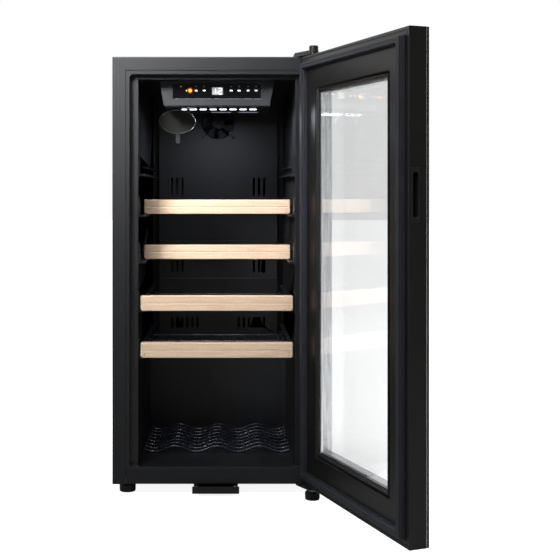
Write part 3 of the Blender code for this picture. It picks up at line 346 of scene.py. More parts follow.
@dataclass(frozen=True)
class Lit(Finish):
    """A translucent part with a lamp behind it, brighter where the lamp is nearer."""

    glow: str = "FFFFFF"
    strength: float = 1.0

    def material(self) -> bpy.types.Material:
        """The base finish, made to give off light."""
        material = super().material()
        shader = material.node_tree.nodes["Principled BSDF"]
        shader.inputs["Emission Color"].default_value = linear(self.glow)
        shader.inputs["Emission Strength"].default_value = self.strength
        return material


# Powder-coated steel sheet, baked black: a fine orange peel breaks up its satin sheen.
POWDER_COAT = Finish(
    "powder_coated_steel_black", "191A1D", "151619", 0.46, ior=1.5, patch_mm=90,
    grain_mm=1.4, relief_mm=0.022, gloss_swing=0.06,
)
# High-impact polystyrene, vacuum-formed: soft satin, with the tool's faint cloudiness.
LINER_PLASTIC = Finish(
    "vacuum_formed_polystyrene_black", "17181B", "101114", 0.42, ior=1.55, patch_mm=70,
    grain_mm=1.6, relief_mm=0.03, gloss_swing=0.1,
)
# ABS, moulded in a spark-eroded tool: fine even texture that keeps highlights broad.
BLACK_ABS = Finish(
    "moulded_abs_black", "1B1B1C", "141415", 0.38, ior=1.53, patch_mm=50,
    grain_mm=1.1, relief_mm=0.02, gloss_swing=0.08,
)
# ABS, moulded in a smoother tool for the door: a flatter, sharper sheen.
DOOR_ABS = Finish(
    "moulded_abs_door_black", "1D1D1B", "161615", 0.34, ior=1.53, patch_mm=70,
    grain_mm=1.2, relief_mm=0.012, gloss_swing=0.06,
)
# ABS, moulded in charcoal: matt, so that the housing reads lighter than the cabinet.
GREY_ABS = Finish(
    "moulded_abs_grey", "2B2C31", "26272B", 0.5, ior=1.53, patch_mm=40,
    grain_mm=1.0, relief_mm=0.02, gloss_swing=0.08,
)
# ABS, moulded in dark grey for the hand grip: between the door and the housing.
DARK_ABS = Finish(
    "moulded_abs_dark_grey", "232325", "1B1B1D", 0.4, ior=1.53, patch_mm=40,
    grain_mm=1.0, relief_mm=0.02, gloss_swing=0.08,
)
# ABS, moulded in white for the probe: clean and faintly satin.
WHITE_ABS = Finish(
    "moulded_abs_white", "C9CACC", "B9BABD", 0.4, ior=1.53, patch_mm=12,
    grain_mm=0.8, relief_mm=0.015, gloss_swing=0.08,
)
# Acetal, turned: waxy off-white, slightly glossier than the ABS.
ACETAL = Finish(
    "turned_acetal_natural", "E2E1DB", "D4D3CC", 0.3, ior=1.48, patch_mm=8,
    grain_mm=0.8, relief_mm=0.01, gloss_swing=0.06,
)
# Soft PVC, extruded: grey-blue, matt, with fine die lines along it.
GASKET_PVC = Finish(
    "extruded_soft_pvc_grey", "2B2E36", "23252D", 0.52, ior=1.53, patch_mm=60,
    grain_mm=1.5, relief_mm=0.02, gloss_swing=0.1,
)
# Nitrile rubber, pressed: dead matt, with a dusty bloom.
RUBBER = Finish(
    "pressed_rubber_black", "1E1E1E", "141414", 0.75, ior=1.52, patch_mm=6,
    grain_mm=0.9, relief_mm=0.03, gloss_swing=0.12,
)
# Steel wire with a dip coat of black polyethylene: thick, wet-looking, with a painted blue sheen in
# its colour.
COATED_WIRE = Finish(
    "dip_coated_wire_black", "24273A", "191B29", 0.24, ior=1.51, coat=0.3, patch_mm=25,
    grain_mm=2.2, relief_mm=0.03, gloss_swing=0.1,
)
# Mild steel with a gloss air-drying lacquer, as on a compressor shell.
LACQUER = Finish(
    "lacquered_steel_black", "131315", "0D0D0E", 0.28, ior=1.5, coat=0.25, patch_mm=30,
    grain_mm=1.8, relief_mm=0.03, gloss_swing=0.12,
)
# Galvanised sheet: crystals of 9 mm.
GALVANISED = Spangled(
    "hot_dip_galvanised_steel", "A9ACAF", "84888C", 0.42, metallic=1.0, patch_mm=9,
    relief_mm=0.01, gloss_swing=0.16,
)
# Zinc-plated steel, blue passivated: cool, brushed along its length before plating.
ZINC_PLATE = Finish(
    "zinc_plated_steel", "A4A8AD", "8D9197", 0.33, metallic=1.0, patch_mm=3,
    grain_mm=0.6, relief_mm=0.008, gloss_swing=0.12, stretch=(12.0, 1.0, 1.0),
)
# Aluminium under a charcoal epoxy coat, as on an evaporator: dull, and almost lost in the dark.
COATED_ALUMINIUM = Finish(
    "epoxy_coated_aluminium", "2A2B2D", "222325", 0.6, ior=1.5, patch_mm=30,
    grain_mm=1.2, relief_mm=0.02, gloss_swing=0.08,
)
# Aluminium as rolled: bright, with fine lines along the strip.
ALUMINIUM = Finish(
    "mill_finish_aluminium", "D2D4D6", "B8BABD", 0.26, metallic=1.0, patch_mm=4,
    grain_mm=0.5, relief_mm=0.006, gloss_swing=0.1, stretch=(1.0, 1.0, 14.0),
)
# Chrome plate on the plate's rim, dulled by handling: a soft grey line.
CHROME = Finish(
    "chrome_plated_rim", "8E9094", "7C7E83", 0.26, metallic=1.0, patch_mm=5,
    grain_mm=1.0, relief_mm=0.003, gloss_swing=0.06,
)
# Rigid polyurethane foam: straw-coloured, pitted.
FOAM = Finish(
    "rigid_polyurethane_foam", "DCC890", "C9B178", 0.9, ior=1.45, patch_mm=14,
    grain_mm=1.6, relief_mm=0.3, gloss_swing=0.08,
)
# Glass fibre board under green solder mask.
BOARD = Finish(
    "solder_masked_board_green", "1F5A3C", "17452E", 0.35, ior=1.5, patch_mm=5,
    grain_mm=0.7, relief_mm=0.02, gloss_swing=0.15,
)
# Acrylic, printed black on its back: a deep, sharp gloss.
GLOSS_WINDOW = Finish(
    "printed_acrylic_black", "0B0C0F", "08090B", 0.07, ior=1.49, coat=0.4, patch_mm=40,
    grain_mm=4.0, relief_mm=0.002, gloss_swing=0.03,
)
# Enamel, baked on a pressed plate: charcoal under a thin clear gloss.
BADGE_ENAMEL = Finish(
    "baked_enamel_charcoal", "1F201D", "191A18", 0.3, ior=1.5, coat=0.3, patch_mm=15,
    grain_mm=1.2, relief_mm=0.006, gloss_swing=0.05,
)
# Ceramic ink fired on the back of the outer pane.
FRIT = Finish(
    "fired_ceramic_ink_black", "08080A", "050506", 0.3, ior=1.5, patch_mm=30,
    grain_mm=0.8, relief_mm=0.004, gloss_swing=0.05,
)
# Beech: fibres about 1.6 mm wide and twenty times longer, under a satin lacquer.
BEECH = Beech(
    "lacquered_beech", "E6CFB8", "D8B899", 0.42, ior=1.5, coat=0.12, patch_mm=1.9,
    grain_mm=0.8, relief_mm=0.02, gloss_swing=0.1, stretch=(24.0, 1.0, 1.0),
)
# Float glass, toughened: almost no colour, and a film that barely dulls its gloss.
GLASS = ClearGlass(
    "toughened_float_glass", "FDFDFD", "FBFCFC", 0.004, ior=1.5, patch_mm=160,
    grain_mm=40.0, relief_mm=0.0, gloss_swing=0.008,
)
# Acrylic, frosted, with the lamps right behind it: a cool even white.
LENS_GLOW = Lit(
    "frosted_acrylic_lit", "F4F7FF", "E6ECFA", 0.45, patch_mm=12, glow="EAF1FF", strength=7.0,
)
# Display bars behind a diffuser: a soft white.
DIGIT_GLOW = Lit(
    "display_segment_white", "F6F6F2", "E8E8E4", 0.4, patch_mm=3, glow="FFFFFF", strength=1.2,
)
# Diffuser round the figures: light that strays from them makes it mid grey.
DISPLAY_HAZE = Lit(
    "display_diffuser_grey", "8B8C90", "7C7D82", 0.5, patch_mm=3, glow="C8C9CC", strength=0.42,
)
# Clear windows in the print, lit from behind: small and sharp.
KEY_GLOW = Lit(
    "touch_key_white", "F2F4F6", "E2E4E8", 0.4, patch_mm=3, glow="FFFFFF", strength=1.3,
)
# Ink signs on the acrylic, hardly lit: dim grey.
KEY_PRINT = Lit(
    "key_print_grey", "9A9CA1", "88898E", 0.5, patch_mm=3, glow="A5A8B0", strength=0.12,
)
# Tinted acrylic over an orange lamp: bright in its middle.
ORANGE_GLOW = Lit(
    "indicator_orange", "FF9A38", "F68A28", 0.3, patch_mm=3, glow="FF8A24", strength=5.0,
)
# The lamp's light spreads in the acrylic round it, as a dim orange ring.
ORANGE_HAZE = Lit(
    "indicator_haze", "3A1A08", "301406", 0.3, patch_mm=3, glow="B8480C", strength=0.4,
)
# Acrylic, frosted, far from the lamps: a dim violet grey.
STRIP_GLOW = Lit(
    "frosted_acrylic_dim", "9A9BAC", "8C8D9E", 0.45, patch_mm=12, glow="9A9CB4", strength=0.45,
)


# -------------------------------------------------------------------------------- meshes


def finished(shape: bmesh.types.BMesh, name: str) -> bpy.types.Mesh:
    """Turns a bmesh to a mesh with its faces out, smooth but for its sharp edges.

    Args:
        shape: The shape, which is freed.
        name: The mesh's name.

    Returns:
        The mesh.
    """
    bmesh.ops.remove_doubles(shape, verts=shape.verts, dist=WELD)
    bmesh.ops.recalc_face_normals(shape, faces=shape.faces)
    mesh = bpy.data.meshes.new(name)
    shape.to_mesh(mesh)
    shape.free()
    mesh.shade_smooth()
    mesh.set_sharp_from_angle(angle=SMOOTH)
    return mesh


def arc(cx: float, cy: float, radius: float, start: float, end: float, steps: int) -> list[Pair]:
    """Points on an arc, from start to end in degrees."""
    turns = [math.radians(start + (end - start) * i / steps) for i in range(steps + 1)]
    return [(cx + radius * math.cos(a), cy + radius * math.sin(a)) for a in turns]


def rounded(
    x0: float, x1: float, z0: float, z1: float, radius: float, steps: int = 5
) -> list[Pair]:
    """A rectangle's outline with rounded corners."""
    return (
        arc(x1 - radius, z0 + radius, radius, -90, 0, steps)
        + arc(x1 - radius, z1 - radius, radius, 0, 90, steps)
        + arc(x0 + radius, z1 - radius, radius, 90, 180, steps)
        + arc(x0 + radius, z0 + radius, radius, 180, 270, steps)
    )


def skin(
    shape: bmesh.types.BMesh, rows: Sequence[Sequence[bmesh.types.BMVert]], looped: bool = False
) -> None:
    """Joins rings of points with faces, and closes both ends or runs back to the start.

    Args:
        shape: The shape that holds the points.
        rows: The rings, all of one length.
        looped: Whether the last ring joins the first.
    """
    for row, after in zip(rows, [*rows[1:], rows[0]] if looped else rows[1:]):
        for j in range(len(row)):
            k = (j + 1) % len(row)
            shape.faces.new((row[j], after[j], after[k], row[k]))
    if not looped:
        shape.faces.new(rows[0])
        shape.faces.new(rows[-1])


def mitred_frame(
    profile: Sequence[Pair], half: float, low: float, high: float
) -> bmesh.types.BMesh:
    """A closed profile carried round a rectangle, with mitred corners.

    Args:
        profile: (distance in from the rectangle, y) points, all the way round.
        half: Half the rectangle's width.
        low: The rectangle's bottom.
        high: The rectangle's top.

    Returns:
        The shape.
    """
    shape = bmesh.new()
    rings = [
        [shape.verts.new((side * (half - a), y, z + rise * a)) for a, y in profile]
        for side, z, rise in ((-1, low, 1), (1, low, 1), (1, high, -1), (-1, high, -1))
    ]
    skin(shape, rings, looped=True)
    return shape


def bent_sheet(
    line: Sequence[Pair], thickness: float, ends: Callable[[float, float], Pair], axis: Axis
) -> bmesh.types.BMesh:
    """A sheet folded along a line and as long as its ends say.

    Args:
        line: The middle of the sheet's section, as (a, b) points.
        thickness: The sheet's thickness.
        ends: Gives where the sheet starts and stops on c at a point (a, b) of the line.
        axis: How a, b and c lie in space.

    Returns:
        The shape.
    """
    shape = bmesh.new()
    points = [Vector(p) for p in line]
    rows = []
    for i, point in enumerate(points):
        before = (point - points[i - 1]).normalized() if i else None
        after = (points[i + 1] - point).normalized() if i + 1 < len(points) else None
        along = ((before or after) + (after or before)).normalized()
        lean = along.dot(after or before)
        out = Vector((along.y, -along.x)) * thickness / 2 / lean
        start, stop = ends(point.x, point.y)
        corners = [
            (*(point + out), start),
            (*(point + out), stop),
            (*(point - out), stop),
            (*(point - out), start),
        ]
        rows.append([shape.verts.new([c[k] for k in order_of(axis)]) for c in corners])
    skin(shape, rows)
    return shape


def order_of(axis: Axis) -> list[int]:
    """For x, y and z in turn, which of (a, b, c) it takes."""
    return [axis.value.index(k) for k in range(3)]


def extruded(
    outlines: Sequence[Sequence[Pair]], low: float, high: float, axis: Axis, bevel: float = 0.0
) -> bmesh.types.BMesh:
    """A flat outline, with any inner ones as holes, thickened and eased at its edges.

    Args:
        outlines: Closed outlines of (a, b) points.
        low: Where the thickness starts on c.
        high: Where it stops.
        axis: How a, b and c lie in space.
        bevel: Radius of the edges.

    Returns:
        The shape.
    """
    curve = bpy.data.curves.new("outline", "CURVE")
    curve.dimensions = "2D"
    curve.fill_mode = "BOTH"
    curve.extrude = (high - low) / 2 - bevel
    curve.bevel_depth = bevel
    curve.bevel_resolution = 2
    curve.offset = -bevel
    for outline in outlines:
        spline = curve.splines.new("POLY")
        spline.points.add(len(outline) - 1)
        for point, (a, b) in zip(spline.points, outline):
            point.co = (a, b, 0, 1)
        spline.use_cyclic_u = True
    shape = bmesh.new()
    shape.from_mesh(curve_mesh(curve))
    bmesh.ops.remove_doubles(shape, verts=shape.verts, dist=WELD)
    middle = (low + high) / 2
    for vert in shape.verts:
        a, b, c = vert.co
        placed = (a, b, c + middle)
        vert.co = [placed[k] for k in order_of(axis)]
    return shape


def curve_mesh(curve: bpy.types.Curve) -> bpy.types.Mesh:
    """The mesh that Blender makes of a curve, which is removed.

    Args:
        curve: The curve.

    Returns:
        The mesh.
    """
    carrier = bpy.data.objects.new("curve", curve)
    bpy.context.scene.collection.objects.link(carrier)
    evaluated = carrier.evaluated_get(bpy.context.evaluated_depsgraph_get())
    mesh = bpy.data.meshes.new_from_object(evaluated)
    bpy.data.objects.remove(carrier)
    bpy.data.curves.remove(curve)
    return mesh


def wires(
    paths: Iterable[Sequence[Sequence[float]]], radius: float, closed: bool = False, sides: int = 12
) -> bmesh.types.BMesh:
    """Round bars along paths of points.

    Args:
        paths: One list of points for each bar.
        radius: The bars' radius.
        closed: Whether each path runs back to its start.
        sides: Faces round each bar.

    Returns:
        The shape, which holds all the bars.
    """
    curve = bpy.data.curves.new("wires", "CURVE")
    curve.dimensions = "3D"
    curve.bevel_depth = radius
    curve.bevel_resolution = (sides - 4) // 2
    curve.use_fill_caps = True
    for path in paths:
        spline = curve.splines.new("POLY")
        spline.points.add(len(path) - 1)
        for point, place in zip(spline.points, path):
            point.co = (*place, 1)
        spline.use_cyclic_u = closed
    shape = bmesh.new()
    shape.from_mesh(curve_mesh(curve))
    return shape


def turned(
    profile: Sequence[Pair], centre: Triple, axis: Axis, steps: int = 48
) -> bmesh.types.BMesh:
    """A profile of (radius, height) points turned about an axis.

    Args:
        profile: The section, from one end of the axis to the other.
        centre: Where the axis runs and its zero height is.
        axis: The axis.
        steps: Faces round it.

    Returns:
        The shape.
    """
    shape = bmesh.new()
    verts = [shape.verts.new((radius, 0, height)) for radius, height in profile]
    edges = [shape.edges.new(pair) for pair in zip(verts, verts[1:])]
    if profile[0][0] > WELD:
        edges.append(shape.edges.new((verts[-1], verts[0])))
    bmesh.ops.spin(
        shape, geom=verts + edges, cent=(0, 0, 0), axis=(0, 0, 1), angle=2 * math.pi,
        steps=steps, use_merge=True,
    )
    for vert in shape.verts:
        vert.co = Vector([vert.co[k] for k in order_of(axis)]) + Vector(centre)
    return shape


def eased_box(
    low: Sequence[float], high: Sequence[float], radius: float, steps: int = 3
) -> bmesh.types.BMesh:
    """A block with every edge rounded.

    Args:
        low: Its lowest corner.
        high: Its highest corner.
        radius: Radius of the edges.
        steps: Faces across each rounded edge.

    Returns:
        The shape.
    """
    shape = bmesh.new()
    for vert in bmesh.ops.create_cube(shape, size=1)["verts"]:
        vert.co = [b if c > 0 else a for c, a, b in zip(vert.co, low, high)]
    bmesh.ops.bevel(
        shape, geom=shape.edges[:], offset=radius, segments=steps, profile=0.5,
        affect="EDGES", clamp_overlap=True,
    )
    return shape


def joined(shapes: Iterable[bmesh.types.BMesh]) -> bmesh.types.BMesh:
    """Several shapes in one. The others are freed.

    Args:
        shapes: The shapes.

    Returns:
        One shape that holds them all.
    """
    whole = bmesh.new()
    for shape in shapes:
        mesh = bpy.data.meshes.new("part")
        shape.to_mesh(mesh)
        shape.free()
        whole.from_mesh(mesh)
        bpy.data.meshes.remove(mesh)
    return whole


def moved(shape: bmesh.types.BMesh, matrix: Matrix) -> bmesh.types.BMesh:
    """The same shape, moved."""
    bmesh.ops.transform(shape, matrix=matrix, verts=shape.verts)
    return shape


def even_normals(piece: bpy.types.Object) -> None:
    """Keeps flat faces flat beside their rounded edges: each normal follows the larger face.

    Args:
        piece: The piece whose mesh is given those normals.
    """
    even = piece.modifiers.new("even_normals", "WEIGHTED_NORMAL")
    even.mode = "FACE_AREA"
    even.weight = 100
    even.keep_sharp = True
    piece.data = applied(piece, even)


def applied(piece: bpy.types.Object, modifier: bpy.types.Modifier) -> bpy.types.Mesh:
    """The piece's mesh with this modifier's result in it. The modifier is removed.

    Args:
        piece: The piece.
        modifier: One of its modifiers.

    Returns:
        The new mesh.
    """
    evaluated = piece.evaluated_get(bpy.context.evaluated_depsgraph_get())
    mesh = bpy.data.meshes.new_from_object(evaluated)
    piece.modifiers.remove(modifier)
    return mesh


@dataclass
class Bench:
    """A place to make pieces: a frame of its own, and the body that carries them."""

    matrix: Matrix
    body: Body

    def on(self, body: Body) -> "Bench":
        """The same frame, for another body."""
        return Bench(self.matrix, body)

    def box(self, node: str) -> tuple[Vector, Vector]:
        """A CAD node's lowest and highest corners in this frame.

        Args:
            node: The node's name.

        Returns:
            Both corners.
        """
        inverse = self.matrix.inverted()
        places = [inverse @ v.co for v in frame["nodes"][node].data.vertices]
        low = Vector([min(p[k] for p in places) for k in range(3)])
        high = Vector([max(p[k] for p in places) for k in range(3)])
        return low, high

    def put(
        self, name: str, shape: bmesh.types.BMesh, finish: Finish, slot: str, *nodes: str
    ) -> bpy.types.Object:
        """Dresses a shape, sets it in place and gives it to the body.

        Args:
            name: The piece's name.
            shape: Its shape in this frame, which is freed.
            finish: Its finish.
            slot: The record's material slot that the finish belongs to; not used.
            *nodes: The CAD nodes that it stands for.

        Returns:
            The piece.
        """
        mesh = finished(shape, name)
        mesh.materials.append(finish.material())
        piece = bpy.data.objects.new(name, mesh)
        piece.matrix_world = self.matrix
        bpy.context.scene.collection.objects.link(piece)
        even_normals(piece)
        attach(piece, self.body.value)
        if nodes:
            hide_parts(*nodes)
        log.info("%s: %d faces, %s", name, len(mesh.polygons), finish.name)
        return piece

    def softened(
        self, name: str, node: str, radius: float, finish: Finish, slot: str, steps: int = 2
    ) -> bpy.types.Object:
        """The CAD node's shape with its edges eased, in place of the node.

        Args:
            name: The piece's name.
            node: The CAD node.
            radius: Radius of the edges.
            finish: Its finish.
            slot: The record's material slot.
            steps: Faces across each rounded edge.

        Returns:
            The piece.
        """
        shape = bmesh.new()
        shape.from_mesh(frame["nodes"][node].data)
        moved(shape, self.matrix.inverted())
        bmesh.ops.remove_doubles(shape, verts=shape.verts, dist=WELD)
        bmesh.ops.dissolve_limit(
            shape, angle_limit=math.radians(0.4), verts=shape.verts[:], edges=shape.edges[:]
        )
        sharp = [
            e for e in shape.edges if len(e.link_faces) == 2 and e.calc_face_angle() > SMOOTH
        ]
        bmesh.ops.bevel(
            shape, geom=sharp, offset=radius, segments=steps, profile=0.5, affect="EDGES",
            clamp_overlap=True, miter_outer="ARC",
        )
        return self.put(name, shape, finish, slot, node)


def carved(piece: bpy.types.Object, cutters: Iterable[bmesh.types.BMesh]) -> bpy.types.Object:
    """The piece with these shapes, in its own frame, cut out of it.

    Args:
        piece: The piece.
        cutters: What to cut away. They are freed.

    Returns:
        The same piece.
    """
    for i, shape in enumerate(cutters):
        mesh = finished(shape, "cutter")
        cutter = bpy.data.objects.new("cutter", mesh)
        cutter.matrix_world = piece.matrix_world
        bpy.context.scene.collection.objects.link(cutter)
        cut = piece.modifiers.new(f"cut_{i}", "BOOLEAN")
        cut.operation = "DIFFERENCE"
        cut.solver = "EXACT"
        cut.object = cutter
        piece.data = applied(piece, cut)
        bpy.data.objects.remove(cutter)
        piece.data.shade_smooth()
        piece.data.set_sharp_from_angle(angle=SMOOTH)
    even_normals(piece)
    return piece


# ------------------------------------------------------------------------ the cabinet


@dataclass
class Casing:
    """The painted steel wrap, the base under it and the foam between it and the liner."""

    bench: Bench
    sheet: float = 0.0012
    bend: float = 0.0016
    flange: float = 0.025
    lip: float = 0.014
    mitre_gap: float = 0.0003

    def __post_init__(self) -> None:
        """Reads the cabinet's size."""
        self.low, self.high = self.bench.box("top_panel")
        self.half = self.high.x
        self.top = self.high.z
        self.depth = self.high.y

    def side(self, name: str, sign: int) -> None:
        """One side panel, folded in at the front and at the back.

        Args:
            name: The panel's CAD node.
            sign: -1 on the left and 1 on the right.
        """
        middle = self.sheet / 2
        outer, back = self.half - middle, self.depth - middle
        line = [(self.half - self.flange, middle)]
        line += arc(outer - self.bend, middle + self.bend, self.bend, -90, 0, 4)
        line += arc(outer - self.bend, back - self.bend, self.bend, 0, 90, 4)
        line.append((self.half - self.lip, back))
        bottom = self.bench.box(name)[0].z

        def ends(x: float, y: float) -> Pair:
            """The front fold stops at the mitre, and the rest under the top panel.

            Args:
                x: Across, on the sheet's line.
                y: Fore and aft, on the sheet's line.

            Returns:
                The heights where the sheet starts and stops.
            """
            under = self.sheet + self.mitre_gap
            if y > self.sheet:
                return bottom, self.top - under
            return bottom, self.top - max(self.half - abs(x), under) - self.mitre_gap

        mirrored = [(sign * x, y) for x, y in line]
        shape = bent_sheet(mirrored, self.sheet, ends, Axis.Z)
        self.bench.put(name + "_wrap", shape, POWDER_COAT, "body_steel", name)

    def lid(self) -> None:
        """The top panel, folded down at the front and at the back."""
        middle = self.sheet / 2
        over, back = self.top - middle, self.depth - middle
        line = [(middle, self.top - self.flange)]
        line += arc(middle + self.bend, over - self.bend, self.bend, 180, 90, 4)
        line += arc(back - self.bend, over - self.bend, self.bend, 90, 0, 4)
        line.append((back, self.top - self.lip))

        def ends(y: float, z: float) -> Pair:
            """The front fold is mitred, and the back one clears the sides' folds.

            Args:
                y: Fore and aft, on the sheet's line.
                z: Height, on the sheet's line.

            Returns:
                Where the sheet starts and stops from side to side.
            """
            fall = max(0.0, self.top - z - self.sheet)
            if y > self.depth / 2:
                fall = min(fall * 4, self.lip + self.mitre_gap)
            reach = self.half - fall - self.mitre_gap
            return -reach, reach

        shape = bent_sheet(line, self.sheet, ends, Axis.X)
        self.bench.put("top_panel_wrap", shape, POWDER_COAT, "body_steel", "top_panel")

    def rail(self) -> None:
        """The rail across the front of the base, folded under."""
        low, high = self.bench.box("front_base_rail")
        middle = self.sheet / 2
        line = [(middle, high.z)]
        line += arc(middle + self.bend, low.z + middle + self.bend, self.bend, 180, 270, 4)
        line.append((high.y, low.z + middle))
        shape = bent_sheet(line, self.sheet, lambda a, b: (low.x, high.x), Axis.X)
        self.bench.put("base_rail", shape, POWDER_COAT, "body_steel", "front_base_rail")

    def build(self) -> None:
        """Makes every piece of the casing."""
        self.side("left_side_panel", -1)
        self.side("right_side_panel", 1)
        self.lid()
        self.rail()
        for name, node in (
            ("back_sheet", "rear_panel"),
            ("base_tray", "base_pan"),
            ("compressor_plate", "compressor_mount"),
        ):
            self.bench.softened(name, node, 0.0003, GALVANISED, "galvanised_steel")
        self.bench.softened("foam_fill", "insulation_foam", 0.0003, FOAM, "foam", 1)


@dataclass
class Liner:
    """The vacuum-formed liner, and the duct cover over its back wall."""

    bench: Bench
    edge: float = 0.0008
    duct_edge: float = 0.0007

    def build(self) -> None:
        """Makes both."""
        bench = self.bench
        bench.softened("liner_shell", "inner_liner", self.edge, LINER_PLASTIC, "liner_plastic", 3)
        bench.softened("duct_face", "duct_cover", self.duct_edge, LINER_PLASTIC, "liner_plastic")


@dataclass
class Fan:
    """The circulation fan: its frame, a rotor with curved blades, and a wire guard in front."""

    bench: Bench
    blades: int = 7
    hub: float = 0.0145
    tip: float = 0.0358
    root_pitch: float = math.radians(48)
    tip_pitch: float = math.radians(30)
    chord: float = 0.0125
    thick: float = 0.0011
    wire: float = 0.0009
    rings: Triple = (0.0365, 0.0255, 0.0145)
    screws: float = 0.035

    def blade(self, angle: float, centre: Vector) -> bmesh.types.BMesh:
        """One blade, swept forward and twisted from root to tip.

        Args:
            angle: Where it stands round the hub.
            centre: The middle of the rotor.

        Returns:
            The shape.
        """
        shape = bmesh.new()
        stations, across = 7, 6
        rows = []
        for i in range(stations):
            t = i / (stations - 1)
            radius = self.hub - 0.0010 + (self.tip - self.hub + 0.0010) * t
            pitch = self.root_pitch + (self.tip_pitch - self.root_pitch) * t
            row = []
            for side in (1, -1):
                for j in range(across):
                    u = (j / (across - 1) - 0.5) * side
                    camber = 0.0012 * (1 - 4 * u * u)
                    half = self.thick / 2 * (1 - 3.2 * u * u)
                    along = u * self.chord * (0.8 + 0.35 * t)
                    up = camber + side * half
                    tangent = along * math.cos(pitch) - up * math.sin(pitch)
                    lift = along * math.sin(pitch) + up * math.cos(pitch)
                    turn = angle + (tangent + 0.004 * t * t) / radius
                    row.append(
                        shape.verts.new(
                            centre
                            + Vector((radius * math.cos(turn), lift, radius * math.sin(turn)))
                        )
                    )
            rows.append(row)
        skin(shape, rows)
        return shape

    def rotor(self) -> None:
        """The hub and its blades, which spin."""
        low, high = self.bench.box("fan_rotor")
        centre = (low + high) / 2
        hub = [
            (0, low.y), (self.hub - 0.0016, low.y), (self.hub - 0.0004, low.y + 0.0005),
            (self.hub, low.y + 0.0016), (self.hub, high.y), (self.hub - 0.0012, high.y),
            (self.hub - 0.0012, low.y + 0.0026), (0.0019, low.y + 0.0026), (0.0019, low.y + 0.0022),
            (0, low.y + 0.0022),
        ]
        shapes = [turned(hub, (centre.x, 0, centre.z), Axis.Y, 40)]
        for k in range(self.blades):
            shapes.append(self.blade(2 * math.pi * k / self.blades, centre))
        rotor = joined(shapes)
        self.bench.on(Body.FAN).put("fan_impeller", rotor, BLACK_ABS, "black_plastic", "fan_rotor")

    def guard(self) -> None:
        """Three rings on two crossed wires, with a screwed eye at each end of those."""
        low, high = self.bench.box("fan_guard")
        centre = (low + high) / 2
        front = low.y + self.wire + 0.0004
        loops = [
            [(centre.x + a, front, centre.z + b) for a, b in arc(0, 0, radius, 0, 354, 59)]
            for radius in self.rings
        ]
        bars = []
        for sign in (1, -1):
            ends = []
            for way in (1, -1):
                x, z = centre.x + way * self.screws, centre.z + way * sign * self.screws
                ends.append((x, z))
            (x0, z0), (x1, z1) = ends
            bars.append([(x0, front + 0.0008, z0), (x1, front + 0.0008, z1)])
        eyes = []
        for sx in (1, -1):
            for sz in (1, -1):
                at = (centre.x + sx * self.screws, 0, centre.z + sz * self.screws)
                profile = [
                    (0, low.y + 0.0006), (0.0022, low.y + 0.0003), (0.0030, low.y + 0.0012),
                    (0.0030, high.y), (0, high.y),
                ]
                eyes.append(turned(profile, at, Axis.Y, 20))
        shape = joined([wires(loops, self.wire, True), wires(bars, self.wire), *eyes])
        self.bench.put("fan_guard_wires", shape, COATED_WIRE, "coated_wire", "fan_guard")

    def build(self) -> None:
        """Makes the frame, the rotor and the guard."""
        self.bench.softened("fan_housing", "fan_frame", 0.0005, BLACK_ABS, "black_plastic")
        self.rotor()
        self.guard()


